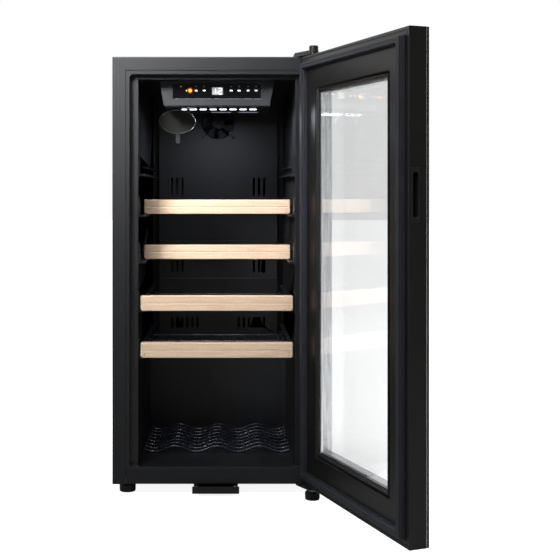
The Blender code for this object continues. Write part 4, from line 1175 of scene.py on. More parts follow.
@dataclass
class ControlUnit:
    """The control housing under the ceiling, with its lit display, its keys and its lamps."""

    bench: Bench
    edge: float = 0.0011
    digit: Pair = (0.0066, 0.0106)
    stroke: float = 0.0015
    haze: Pair = (0.0208, 0.0142)
    digit_pitch: float = 0.0096
    display_x: float = 0.0012
    key_row: float = 0.0010
    icon_row: float = 0.0088
    keys: tuple[float, ...] = (-0.0401, -0.0246, 0.0275, 0.0429, 0.0603, 0.0757)
    dark_key: float = -0.0690
    indicator: float = -0.0516
    halo: float = 0.0058
    print_depth: float = 0.00012
    slope: float = 0.00825
    wall: float = 0.002
    gap: float = 0.0003
    slot: Pair = (0.014, 0.004)
    slot_count: int = 8
    slot_corner: float = 0.0008
    slot_middle: float = 0.002
    slot_pitch: float = 0.0198
    slot_row: float = 0.110
    strip_row: float = 0.184
    strips: tuple[Pair, ...] = ((-0.013, 0.029), (0.043, 0.084))
    # Thickness of the black sheet of painted shade under the housing.
    cover: float = 0.0008
    proud: float = 0.0022

    def openings(self, z0: float, z1: float, grow: float) -> list[list[bmesh.types.BMesh]]:
        """The lamps' row of eight and the two long strips, as boxes between two heights.

        Args:
            z0: Where the boxes start.
            z1: Where they stop.
            grow: How much wider than the openings they are, on each side.

        Returns:
            The row, and the strips.
        """
        w, d = self.slot[0] / 2 + grow, self.slot[1] / 2 + grow
        row = []
        for i in range(self.slot_count):
            x = self.slot_middle + self.slot_pitch * (i - (self.slot_count - 1) / 2)
            a, b = (x - w, self.slot_row - d), (x + w, self.slot_row + d)
            row.append(eased_box((*a, z0), (*b, z1), self.slot_corner))
        strips = []
        for x0, x1 in self.strips:
            a, b = (x0 - grow, self.strip_row - d), (x1 + grow, self.strip_row + d)
            strips.append(eased_box((*a, z0), (*b, z1), self.slot_corner))
        return [row, strips]

    def lamps(self) -> None:
        """A black sheet of painted shade under the housing, and the lenses that stand out of its
        openings.
        """
        low, high = self.bench.box("control_housing")
        wide, top = high.x - self.slope - 0.001, low.z - 0.0002
        # Painted shade: a thin black sheet just under the housing darkens its underside.
        plate = eased_box(
            (-wide, low.y + 0.001, top - self.cover), (wide, high.y - 0.001, top), 0.0003
        )
        piece = self.bench.put("underside_shade_sheet", plate, BLACK_ABS, "black_plastic")
        row, strips = self.openings(low.z - 0.01, low.z + 0.004, 0.0)
        carved(piece, row + strips)
        row, strips = self.openings(low.z - self.proud, low.z + 0.0032, -self.gap)
        lens = eased_box(*self.bench.box("light_lens"), 0.0005)
        self.bench.put("lamp_lens", joined([lens] + row), LENS_GLOW, "light_diffuser", "light_lens")
        self.bench.put("strip_lens", joined(strips), STRIP_GLOW, "light_diffuser")

    def segments(self, figure: str, x: float, z: float) -> list[bmesh.types.BMesh]:
        """The lit bars of one seven-segment figure.

        Args:
            figure: The figure, 1 or 2.
            x: Its middle, across.
            z: Its middle, in height.

        Returns:
            One shape for each bar.
        """
        w, h = self.digit[0] / 2, self.digit[1] / 2
        bars = {
            "a": (0, h, True), "g": (0, 0, True), "d": (0, -h, True),
            "f": (-w, h / 2, False), "b": (w, h / 2, False),
            "e": (-w, -h / 2, False), "c": (w, -h / 2, False),
        }
        shapes = []
        for bar in {"1": "bc", "2": "abged"}[figure]:
            dx, dz, flat = bars[bar]
            long, thin = (w if flat else h / 2) - 0.0003, self.stroke / 2
            a, b = (long, thin) if flat else (thin, long)
            if flat:
                line = [(-a, 0), (-a + thin, -b), (a - thin, -b)]
                line += [(a, 0), (a - thin, b), (-a + thin, b)]
            else:
                line = [(0, -b), (a, -b + thin), (a, b - thin)]
                line += [(0, b), (-a, b - thin), (-a, -b + thin)]
            placed = [(x + dx + p, z + dz + q) for p, q in line]
            shapes.append(self.printed(placed, 2))
        return shapes

    def printed(self, outline: Sequence[Pair], layer: int) -> bmesh.types.BMesh:
        """A thin mark on the window's face, in a given layer."""
        stop = self.face - self.print_depth * 0.4 * layer
        return extruded([outline], stop - self.print_depth, stop, Axis.Y)

    def pill(
        self, x: float, z: float, half: Pair, corner: float, layer: int = 1
    ) -> bmesh.types.BMesh:
        """A thin mark with rounded corners.

        Args:
            x: Its middle, across.
            z: Its middle, in height.
            half: Half its width and half its height.
            corner: Radius of its corners.
            layer: Its layer on the window.

        Returns:
            The shape.
        """
        w, h = half
        return self.printed(rounded(x - w, x + w, z - h, z + h, corner), layer)

    def marks(self, window_z: float) -> None:
        """The keys' lit bars, the printed signs over them and the orange indicator.

        Args:
            window_z: The height of the window's middle.
        """
        row, signs = window_z + self.key_row, window_z + self.icon_row
        lit, printed = [], []
        for i, x in enumerate(self.keys):
            lit.append(self.pill(x, row, (0.0026, 0.0012), 0.0011))
            if i % 2:
                ring = [arc(x, signs, radius, 0, 345, 23) for radius in (0.0016, 0.0011)]
                printed.append(extruded(ring, self.face - self.print_depth, self.face, Axis.Y))
            else:
                printed.append(self.pill(x, signs, (0.0016, 0.0004), 0.0003))
        printed.append(self.pill(self.dark_key, signs, (0.0014, 0.0014), 0.0005))
        small = self.indicator - 0.0072
        orange = [
            self.printed(arc(self.indicator, row, 0.0029, 0, 348, 29), 1),
            self.printed(arc(small, row, 0.0010, 0, 340, 17), 1),
        ]
        halo = self.printed(arc(self.indicator, row, self.halo, 0, 350, 35), 0)
        self.bench.put("indicator_haze", halo, ORANGE_HAZE, "light_diffuser")
        self.bench.put("key_bars", joined(lit), KEY_GLOW, "light_diffuser")
        self.bench.put("key_signs", joined(printed), KEY_PRINT, "display_gloss")
        self.bench.put("indicator_lamps", joined(orange), ORANGE_GLOW, "light_diffuser")

    def housing(self) -> None:
        """The housing: wider at the top, hollow, with a window and two rows of lamp openings."""
        low, high = self.bench.box("control_housing")
        window = self.bench.box("display_panel")
        wide, slope, wall = high.x, self.slope, self.wall
        outline = [(-wide + slope, low.z), (wide - slope, low.z), (wide, high.z), (-wide, high.z)]
        shell = extruded([outline], low.y, high.y, Axis.Y, self.edge)
        piece = self.bench.put("housing_shell", shell, GREY_ABS, "grey_plastic", "control_housing")
        inner = [
            (-wide + slope + wall, low.z + wall), (wide - slope - wall, low.z + wall),
            (wide - wall, high.z + 0.01), (-wide + wall, high.z + 0.01),
        ]
        cuts = [extruded([inner], low.y + wall + 0.001, high.y - wall, Axis.Y)]
        g = self.gap
        cuts.append(
            eased_box(
                (window[0].x - g, low.y - 0.01, window[0].z - g),
                (window[1].x + g, low.y + 0.006, window[1].z + g), 0.0008,
            )
        )
        row, strips = self.openings(low.z - 0.01, low.z + 0.004, 0.0)
        carved(piece, cuts + row + strips)

    def build(self) -> None:
        """Makes the housing and all that it holds."""
        bench = self.bench
        self.housing()
        low, high = bench.box("display_panel")
        self.face = low.y
        window = eased_box(low, high, 0.0005)
        bench.put("display_window", window, GLOSS_WINDOW, "display_gloss", "display_panel")
        middle = (low.z + high.z) / 2
        x, (w, h) = self.display_x, self.haze
        haze = self.pill(x, middle, (w / 2, h / 2), 0.0008, 0)
        bench.put("display_haze", haze, DISPLAY_HAZE, "display_gloss")
        step = self.digit_pitch / 2
        digits = self.segments("1", x - step - 0.0022, middle)
        digits += self.segments("2", x + step, middle)
        bench.put("display_digits", joined(digits), DIGIT_GLOW, "light_diffuser")
        self.marks(middle)
        self.lamps()
        for name, node in (("key_board", "control_board"), ("lamp_board", "led_board")):
            bench.softened(name, node, 0.0002, BOARD, "circuit_board", 1)


@dataclass
class Fittings:
    """The oval plate that hangs under the housing, and the temperature probe."""

    bench: Bench
    tilt: float = math.radians(-3)
    rim_wire: float = 0.0007
    rim_inset: float = 0.0014
    half_high: float = 0.0245

    def oval(self, centre: Vector, a: float, b: float, count: int) -> list[Pair]:
        """Points round the tilted oval.

        Args:
            centre: Its middle.
            a: Its half width.
            b: Its half height.
            count: How many points.

        Returns:
            The points, as (x, z).
        """
        points = []
        for i in range(count):
            u = a * math.cos(2 * math.pi * i / count)
            v = b * math.sin(2 * math.pi * i / count)
            points.append(
                (
                    centre.x + u * math.cos(self.tilt) - v * math.sin(self.tilt),
                    centre.z + u * math.sin(self.tilt) + v * math.cos(self.tilt),
                )
            )
        return points

    def build(self) -> None:
        """Makes the plate, its rim and the probe."""
        low, high = self.bench.box("badge_plate")
        a, b = (high.x - low.x) / 2 - 0.0002, self.half_high
        centre = Vector(((low.x + high.x) / 2, 0, low.z + b + 0.0001))
        plate = extruded([self.oval(centre, a, b, 72)], low.y + 0.0004, high.y, Axis.Y, 0.0005)
        tab = eased_box(
            (centre.x - 0.009, low.y + 0.0008, centre.z + b - 0.006),
            (centre.x + 0.009, high.y - 0.0002, high.z), 0.0004,
        )
        shape = joined([plate, tab])
        self.bench.put("hanging_plate", shape, BADGE_ENAMEL, "black_plastic", "badge_plate")
        outline = self.oval(centre, a - self.rim_inset, b - self.rim_inset, 96)
        loop = [(x, low.y + self.rim_wire, z) for x, z in outline]
        rim = wires([loop], self.rim_wire, True)
        self.bench.put("hanging_plate_rim", rim, CHROME, "zinc_steel")
        self.bench.softened("probe_cap", "temperature_probe", 0.0006, WHITE_ABS, "white_plastic")


# ------------------------------------------------------------------------ shelves and rack


@dataclass
class Shelf:
    """A sliding shelf: a beech front, and a rack of coated wire behind it."""

    bench: Bench
    number: int
    wire: float = 0.0014
    cross: float = 0.0018
    runner: float = 0.0024
    pitch: float = 0.0234
    count: int = 12
    runner_x: float = 0.1412
    corner: float = 0.006
    edge: float = 0.0013
    groove: Pair = (0.0009, 0.0009)

    def section(self, low: Vector, high: Vector) -> list[Pair]:
        """The front's section (y, z), all the way round, with the groove along its middle.

        Args:
            low: The front's lowest corner.
            high: Its highest corner.

        Returns:
            The points.
        """
        e, middle = self.edge, (low.z + high.z) / 2
        half, deep = self.groove
        line = arc(high.y - e, high.z - e, e, 0, 90, 4)
        line += arc(low.y + e, high.z - e, e, 90, 180, 4)
        line += [
            (low.y, middle + half + 0.0004),
            (low.y + deep * 0.35, middle + half),
            (low.y + deep, middle + half * 0.5),
            (low.y + deep, middle - half * 0.5),
            (low.y + deep * 0.35, middle - half),
            (low.y, middle - half - 0.0004),
        ]
        line += arc(low.y + e, low.z + e, e, 180, 270, 4)
        line += arc(high.y - e, low.z + e, e, 270, 360, 4)
        return line

    def front(self, name: str) -> None:
        """The beech front, rounded up at its lower corners, with a cut near each end.

        Args:
            name: The front's CAD node.
        """
        low, high = self.bench.box(name)
        section = self.section(low, high)
        middle = (low.y + high.y) / 2
        shape = bmesh.new()
        rows = []
        for side in (-1, 1):
            stations = [(0.0, 0.0013), (0.0004, 0.0005), (0.0013, 0.0)]
            stations += [(self.corner * k / 6, 0.0) for k in range(2, 7)]
            for reach, shrink in stations if side < 0 else reversed(stations):
                rise = self.corner - math.sqrt(
                    max(0.0, self.corner**2 - (self.corner - reach) ** 2)
                )
                x = low.x + reach if side < 0 else high.x - reach
                row = []
                for y, z in section:
                    y += (shrink if y < middle else -shrink) if abs(y - middle) > 0.005 else 0
                    z = min(max(z, low.z + rise), high.z - shrink)
                    row.append(shape.verts.new((x, y, z)))
                rows.append(row)
        skin(shape, rows)
        piece = self.bench.put(f"shelf_{self.number}_beech", shape, BEECH, "beech", name)
        cuts = []
        for x in (low.x + 0.008, high.x - 0.008):
            cuts.append(
                eased_box(
                    (x - 0.0010, low.y - 0.004, low.z + 0.0030),
                    (x + 0.0010, low.y + 0.0028, low.z + 0.0105), 0.0006, 2,
                )
            )
        carved(piece, cuts)

    def rack(self, name: str) -> None:
        """Fore-and-aft wires that turn down at the front, on cross wires and two runners.

        Args:
            name: The rack's CAD node.
        """
        low, high = self.bench.box(name)
        middle = (low.x + high.x) / 2
        top = high.z - self.wire
        level = low.z + 0.0030
        bars = []
        for i in range(self.count):
            x = middle + self.pitch * (i - (self.count - 1) / 2)
            bend = arc(low.y + 0.0016 + self.wire, top - 0.0016, 0.0016, 180, 90, 4)
            path = [(x, low.y + self.wire, low.z + self.wire)]
            path += [(x, y, z) for y, z in bend]
            path.append((x, high.y - self.wire, top))
            bars.append(path)
        cross = []
        for y in (low.y + 0.006, low.y + 0.095, low.y + 0.190, high.y - 0.004):
            cross.append([(middle - self.runner_x, y, level), (middle + self.runner_x, y, level)])
        runners = []
        for x in (-self.runner_x, self.runner_x):
            z = low.z + self.runner
            runners.append([(middle + x, low.y, z), (middle + x, high.y, z)])
        shape = joined(
            [wires(bars, self.wire), wires(cross, self.cross), wires(runners, self.runner)]
        )
        self.bench.put(f"shelf_{self.number}_wires", shape, COATED_WIRE, "coated_wire", name)

    def build(self) -> None:
        """Makes the front and the rack."""
        self.front(f"shelf_{self.number}_front")
        self.rack(f"shelf_{self.number}_rack")


@dataclass
class BottomRack:
    """The mat on the floor: wires in waves from side to side, tied by fore-and-aft ones."""

    bench: Bench
    wave_wire: float = 0.0018
    tie_wire: float = 0.0011
    waves: int = 8
    ties: int = 27
    wave_length: float = 0.085

    def build(self) -> None:
        """Makes the mat."""
        low, high = self.bench.box("bottom_rack")
        middle = (low.x + high.x) / 2
        floor = low.z + self.wave_wire
        swing = (high.z - low.z) / 2 - self.wave_wire - self.tie_wire

        def height(x: float) -> float:
            """The wave's height over the floor at x."""
            return floor + swing * (1 + math.cos(2 * math.pi * (x - middle) / self.wave_length))

        half = (high.x - low.x) / 2 - 0.001
        steps = 84
        across = [middle - half + 2 * half * i / steps for i in range(steps + 1)]
        front, back = low.y + self.wave_wire, high.y - self.wave_wire
        rows = [
            [(x, front + (back - front) * k / (self.waves - 1), height(x)) for x in across]
            for k in range(self.waves)
        ]
        reach = half - 0.004
        ties = []
        for k in range(self.ties):
            x = middle - reach + 2 * reach * k / (self.ties - 1)
            z = height(x) + self.wave_wire + self.tie_wire * 0.55
            ties.append([(x, front, z), (x, back, z)])
        shape = joined([wires(rows, self.wave_wire, sides=10), wires(ties, self.tie_wire, sides=8)])
        self.bench.put("bottle_mat", shape, COATED_WIRE, "coated_wire", "bottom_rack")


# --------------------------------------------------------------------------------- door


@dataclass
class Door:
    """The glass door: a mitred frame, two panes with a spacer, the seal and the hand grip."""

    bench: Bench
    rail: float = 0.065
    seal: Pair = (0.012, 0.026)
    gap: float = 0.0003
    pane_edge: float = 0.0008
    bush: float = 0.0063

    def __post_init__(self) -> None:
        """Reads the door's size in its own frame, where it is shut."""
        self.low, self.high = self.bench.box("door_frame")
        self.half = self.high.x

    def ring(self, profile: Sequence[Pair]) -> bmesh.types.BMesh:
        """A profile carried round the door's outline."""
        return mitred_frame(profile, self.half, self.low.z, self.high.z)

    def frame(self) -> None:
        """The moulded frame: shadow line, seal groove, and a flat band that dips to the glass."""
        front, back, rail = self.low.y, self.high.y, self.rail
        groove = (self.seal[0] + self.seal[1]) / 2
        section = arc(0.0010, front + 0.0010, 0.0010, 270, 180, 3)
        section += arc(0.0012, back - 0.0012, 0.0012, 180, 90, 4)
        section += [
            (0.0042, back), (0.0046, back - 0.0010), (0.0060, back - 0.0010), (0.0064, back),
            (groove - 0.0022, back), (groove - 0.0022, back - 0.0026),
            (groove + 0.0022, back - 0.0026), (groove + 0.0022, back),
            (0.0290, back), (0.0296, back - 0.0006), (rail - 0.0052, back - 0.0006),
        ]
        section += arc(rail - 0.0052, back - 0.0040, 0.0034, 90, 30, 4)
        section += [(rail, back - 0.0060), (rail, front + 0.0006), (rail - 0.0006, front)]
        shape = self.ring(section)
        piece = self.bench.put("door_moulding", shape, DOOR_ABS, "black_plastic", "door_frame")
        low, high = self.bench.box("handle_cup")
        g = self.gap
        a, b = (low.x - 0.01, low.y - g, low.z - g), (high.x + g, high.y + g, high.z + g)
        cuts = [eased_box(a, b, 0.0006)]
        for node in ("top_hinge_bush", "bottom_hinge_bush"):
            low, high = self.bench.box(node)
            centre = ((low.x + high.x) / 2, (low.y + high.y) / 2, 0)
            over = 0.004
            span = (low.z - g, high.z + over) if node[0] == "t" else (low.z - over, high.z + g)
            profile = [(0, span[0]), (self.bush, span[0]), (self.bush, span[1]), (0, span[1])]
            cuts.append(turned(profile, centre, Axis.Z, 32))
        carved(piece, cuts)

    def seals(self) -> None:
        """The seal: a foot in the groove, two folds like a bellows, and the magnet's flat face."""
        low, high = self.bench.box("door_gasket")
        a, b = self.seal
        foot, face = self.high.y + self.gap, high.y
        middle = (a + b) / 2
        section = [
            (a, foot), (a, foot + 0.0016), (a + 0.0003, foot + 0.0022), (a + 0.0018, foot + 0.0027),
            (a + 0.0021, foot + 0.0034), (a + 0.0008, foot + 0.0044), (a + 0.0006, foot + 0.0052),
            (a + 0.0019, foot + 0.0061), (a + 0.0021, foot + 0.0068),
        ]
        section += arc(a + 0.0032, face - 0.0012, 0.0012, 180, 90, 4)
        section += [
            (middle - 0.0012, face), (middle - 0.0006, face - 0.0004),
            (middle + 0.0006, face - 0.0004), (middle + 0.0012, face),
        ]
        section += arc(b - 0.0032, face - 0.0012, 0.0012, 90, 0, 4)
        section += [
            (b - 0.0021, foot + 0.0068), (b - 0.0019, foot + 0.0061), (b - 0.0006, foot + 0.0052),
            (b - 0.0008, foot + 0.0044), (b - 0.0021, foot + 0.0034), (b - 0.0018, foot + 0.0027),
            (b - 0.0003, foot + 0.0022), (b, foot + 0.0016), (b, foot),
        ]
        dart = low.y
        section += [
            (middle + 0.0017, foot), (middle + 0.0015, dart + 0.0004), (middle, dart),
            (middle - 0.0015, dart + 0.0004), (middle - 0.0017, foot),
        ]
        self.bench.put("door_seal", self.ring(section), GASKET_PVC, "gasket", "door_gasket")

    def glazing(self) -> None:
        """Both panes, the printed border behind the outer one, and what holds them."""
        for name, node in (("front_pane", "outer_glass"), ("rear_pane", "inner_glass")):
            low, high = self.bench.box(node)
            self.bench.put(name, eased_box(low, high, self.pane_edge), GLASS, "glass", node)
        pane = self.bench.box("outer_glass")[1].y
        ink = (pane + 0.00004, self.low.y - 0.00006)
        border = [
            (self.pane_edge, ink[0]), (self.pane_edge, ink[1]),
            (self.rail - 0.0004, ink[1]), (self.rail - 0.0004, ink[0]),
        ]
        self.bench.put("pane_border", self.ring(border), FRIT, "black_plastic")
        low, high = self.bench.box("glass_spacer")
        start = self.half - high.x
        e, wide = 0.0008, 0.009
        bar = arc(start + e, low.y + e, e, 270, 180, 3) + arc(start + e, high.y - e, e, 180, 90, 3)
        bar += [
            (start + wide - 0.0022, high.y), (start + wide, high.y - 0.0026),
            (start + wide, low.y + 0.0026), (start + wide - 0.0022, low.y),
        ]
        self.bench.put("spacer_bar", self.ring(bar), ALUMINIUM, "aluminium", "glass_spacer")
        low, high = self.bench.box("door_bead")
        start = self.half - high.x
        lip = [(start, low.y), (start, high.y - 0.0008), (start + 0.0008, high.y)]
        lip += [
            (start + 0.0020, high.y), (start + 0.0044, high.y - 0.0026),
            (start + 0.005, low.y + 0.0008), (start + 0.005, low.y),
        ]
        self.bench.put("glazing_bead", self.ring(lip), BLACK_ABS, "black_plastic", "door_bead")

    def build(self) -> None:
        """Makes every piece of the door."""
        self.frame()
        self.seals()
        self.glazing()
        self.bench.softened("hand_grip", "handle_cup", 0.0007, DARK_ABS, "grey_plastic", 3)
        for name, node in (("upper_bush", "top_hinge_bush"), ("lower_bush", "bottom_hinge_bush")):
            self.bench.softened(name, node, 0.0003, ACETAL, "white_plastic")


@dataclass
class Hinges:
    """The two brackets on the cabinet, and the moulded cover on the upper one."""

    bench: Bench

    def build(self) -> None:
        """Makes the brackets and the cover."""
        for name, node in (
            ("upper_bracket", "top_hinge_bracket"),
            ("lower_bracket", "bottom_hinge_bracket"),
        ):
            self.bench.softened(name, node, 0.0004, ZINC_PLATE, "zinc_steel")
        self.bench.softened("hinge_cap", "top_hinge_cover", 0.0009, BLACK_ABS, "black_plastic", 3)


# ----------------------------------------------------------------- feet, tray and cooling


@dataclass
class Feet:
    """Two screw feet with gripping flutes in front, and two rubber pads behind."""

    bench: Bench
    flutes: int = 18
    flute: float = 0.0007

    def screw_foot(self, name: str, node: str, body: Body) -> None:
        """A foot on its stud, fluted round its rim so that fingers can turn it.

        Args:
            name: The piece's name.
            node: The CAD node.
            body: The body that turns.
        """
        low, high = self.bench.box(node)
        centre = ((low.x + high.x) / 2, (low.y + high.y) / 2, 0)
        radius = (high.x - low.x) / 2
        stud = 0.0040 if node.endswith("left") else 0.0030
        shoulder = high.z - (0.0015 if node.endswith("left") else 0.0017)
        profile = [(0, low.z)] + arc(radius - 0.0016, low.z + 0.0014, 0.0014, 270, 360, 4)
        profile += [(radius, low.z + 0.0052), (radius, 0.0120)]
        profile += arc(radius - 0.0016, 0.0120, 0.0016, 0, 70, 4)
        profile += [(radius - 0.0034, shoulder), (stud, shoulder), (stud, high.z), (0, high.z)]
        shape = turned(profile, centre, Axis.Z, self.flutes * 6)
        for vert in shape.verts:
            out = Vector((vert.co.x - centre[0], vert.co.y - centre[1]))
            if out.length > radius - 0.0004 and low.z + 0.004 < vert.co.z < 0.0125:
                turn = math.atan2(out.y, out.x)
                dip = self.flute * max(0.0, math.cos(self.flutes * turn)) ** 2
                out *= 1 - dip / out.length
                vert.co.x, vert.co.y = centre[0] + out.x, centre[1] + out.y
        self.bench.on(body).put(name, shape, BLACK_ABS, "black_plastic", node)

    def build(self) -> None:
        """Makes all four."""
        self.screw_foot("left_screw_foot", "foot_front_left", Body.LEFT_FOOT)
        self.screw_foot("right_screw_foot", "foot_front_right", Body.RIGHT_FOOT)
        for side in ("left", "right"):
            low, high = self.bench.box(f"foot_rear_{side}")
            radius = (high.x - low.x) / 2
            centre = ((low.x + high.x) / 2, (low.y + high.y) / 2, 0)
            profile = [(0, low.z)] + arc(radius - 0.0026, low.z + 0.002, 0.002, 270, 350, 4)
            profile += [(radius, high.z - 0.003), (radius - 0.0008, high.z), (0, high.z)]
            shape = turned(profile, centre, Axis.Z)
            self.bench.put(f"rear_pad_{side}", shape, RUBBER, "black_rubber", f"foot_rear_{side}")


@dataclass
class DripTray:
    """The shallow tray that slides out under the front, and the channel that it runs in."""

    bench: Bench

    def build(self) -> None:
        """Makes both."""
        tray = self.bench.on(Body.DRIP_TRAY)
        tray.softened("pull_out_tray", "drip_tray", 0.0005, BLACK_ABS, "black_plastic")
        self.bench.softened("tray_channel", "tray_guide", 0.0002, GALVANISED, "galvanised_steel")


@dataclass
class Cooling:
    """The compressor, the pan on it, the condenser behind and the plate evaporator."""

    bench: Bench
    tube: float = 0.0024
    wire: float = 0.0007
    wire_count: int = 29
    passes: int = 9
    bend: float = 0.025
    coil_half: float = 0.150
    coil_low: float = 0.300
    coil_high: float = 0.780

    def compressor(self) -> None:
        """A drawn shell in two halves welded at the belt, on a foot, with its starter box."""
        low, high = self.bench.box("compressor")
        x, y = low.x + 0.069, (low.y + high.y) / 2
        base = low.z
        shell = [(0, base + 0.0042), (0.030, base + 0.0042), (0.038, base + 0.0066)]
        shell += [(0.0455, base + 0.0115), (0.0510, base + 0.0200), (0.0540, base + 0.0300)]
        shell += [(0.0548, base + 0.040), (0.0550, base + 0.0655), (0.0562, base + 0.0668)]
        shell += [(0.0565, base + 0.0690), (0.0562, base + 0.0712), (0.0550, base + 0.0722)]
        shell += [(0.0550, base + 0.104), (0.0540, base + 0.1150), (0.0510, base + 0.1260)]
        shell += [(0.0450, base + 0.1360), (0.0350, base + 0.1435), (0.0200, base + 0.1478)]
        shell += [(0, base + 0.149)]
        parts = [turned(shell, (x, y, 0), Axis.Z, 72)]
        parts.append(eased_box((low.x, low.y, base), (x + 0.069, high.y, base + 0.003), 0.0009))
        stem = [(0, base + 0.001), (0.030, base + 0.001), (0.030, base + 0.012), (0, base + 0.012)]
        parts.append(turned(stem, (x, y, 0), Axis.Z, 40))
        for dx in (-0.060, 0.060):
            for dy in (-0.0415, 0.0415):
                cup = [(0, base + 0.0005), (0.0078, base + 0.0005), (0.0078, base + 0.0068)]
                cup += [(0.0066, base + 0.0082), (0.0040, base + 0.0082)]
                cup += [(0.0040, base + 0.0100), (0, base + 0.0104)]
                parts.append(turned(cup, (x + dx, y + dy, 0), Axis.Z, 24))
        starter = ((x + 0.045, y - 0.022, base + 0.045), (high.x, y + 0.022, base + 0.095))
        parts.append(eased_box(*starter, 0.0035, 4))
        stubs = [
            [(x + 0.010 * s, y - 0.053, base + h), (x + 0.010 * s, y - 0.0565, base + h)]
            for s, h in ((-2, 0.090), (0, 0.098), (2, 0.084))
        ]
        parts.append(wires(stubs, 0.0032))
        self.bench.put("compressor_shell", joined(parts), LACQUER, "black_lacquer", "compressor")

    def condenser(self) -> None:
        """The folded tube with its fine upright wires, and two straps that stand it off."""
        low, high = self.bench.box("condenser_coil")
        y = high.y - 0.0075
        pitch = (self.coil_high - self.coil_low) / (self.passes - 1)
        straight = self.coil_half - self.bend
        start = self.coil_low
        path = [(-0.0200, low.y + self.tube, 0.1103), (-0.060, low.y + 0.012, 0.1103)]
        path += [(-0.085, low.y + 0.042, 0.125), (-0.090, y, 0.160), (-0.090, y, 0.240)]
        path += [(-0.0925, y, 0.262), (-0.100, y, 0.279), (-0.112, y, 0.291)]
        path += [(-0.125, y, start - 0.0035)]
        for i in range(self.passes):
            z, sign = start + pitch * i, 1 if i % 2 == 0 else -1
            path.append((-sign * straight, y, z))
            path.append((sign * straight, y, z))
            if i < self.passes - 1:
                for step in range(1, 12):
                    turn = math.pi * step / 12
                    reach = sign * (straight + (self.bend - self.tube) * math.sin(turn))
                    path.append((reach, y, z + pitch / 2 * (1 - math.cos(turn))))
        fins = []
        spread = straight + 0.006
        for k in range(self.wire_count):
            x = -spread + 2 * spread * k / (self.wire_count - 1)
            side = y + (self.tube + self.wire * 0.6) * (1 if k % 2 else -1)
            fins.append([(x, side, start - 0.018), (x, side, self.coil_high + 0.018)])
        straps = []
        for sign in (-1, 1):
            lo = (sign * 0.109 - 0.003, high.y - 0.0242, 0.262)
            hi = (sign * 0.109 + 0.003, high.y, 0.800)
            straps.append(eased_box(lo, hi, 0.0008))
        shape = joined([wires([path], self.tube), wires(fins, self.wire, sides=6), *straps])
        self.bench.put("condenser_grid", shape, LACQUER, "black_lacquer", "condenser_coil")

    def build(self) -> None:
        """Makes every piece of the cooling circuit."""
        self.compressor()
        self.condenser()
        bench = self.bench
        bench.softened("condensate_pan", "evaporation_pan", 0.0008, BLACK_ABS, "black_plastic", 3)
        bench.softened("cold_plate", "evaporator", 0.0002, COATED_ALUMINIUM, "aluminium", 1)
        bench.softened("mains_socket", "mains_inlet", 0.0006, BLACK_ABS, "black_plastic")


# ------------------------------------------------------------------------------- studio


@dataclass
class Softbox:
    """One soft lamp: where it stands, where it points, its size, power and colour."""

    name: str
    at: Triple
    aim: Triple
    size: Pair
    power: float
    colour: str = "FFFFFF"
    spread: float = math.pi

    def build(self) -> None:
        """Makes the lamp."""
        data = bpy.data.lights.new(self.name, "AREA")
        data.shape = "RECTANGLE"
        data.size, data.size_y = self.size
        data.energy = self.power
        data.spread = self.spread
        data.color = linear(self.colour)[:3]
        lamp = bpy.data.objects.new(self.name, data)
        lamp.location = self.at
        way = Vector(self.aim) - Vector(self.at)
        lamp.rotation_euler = way.to_track_quat("-Z", "Y").to_euler()
        bpy.context.scene.collection.objects.link(lamp)


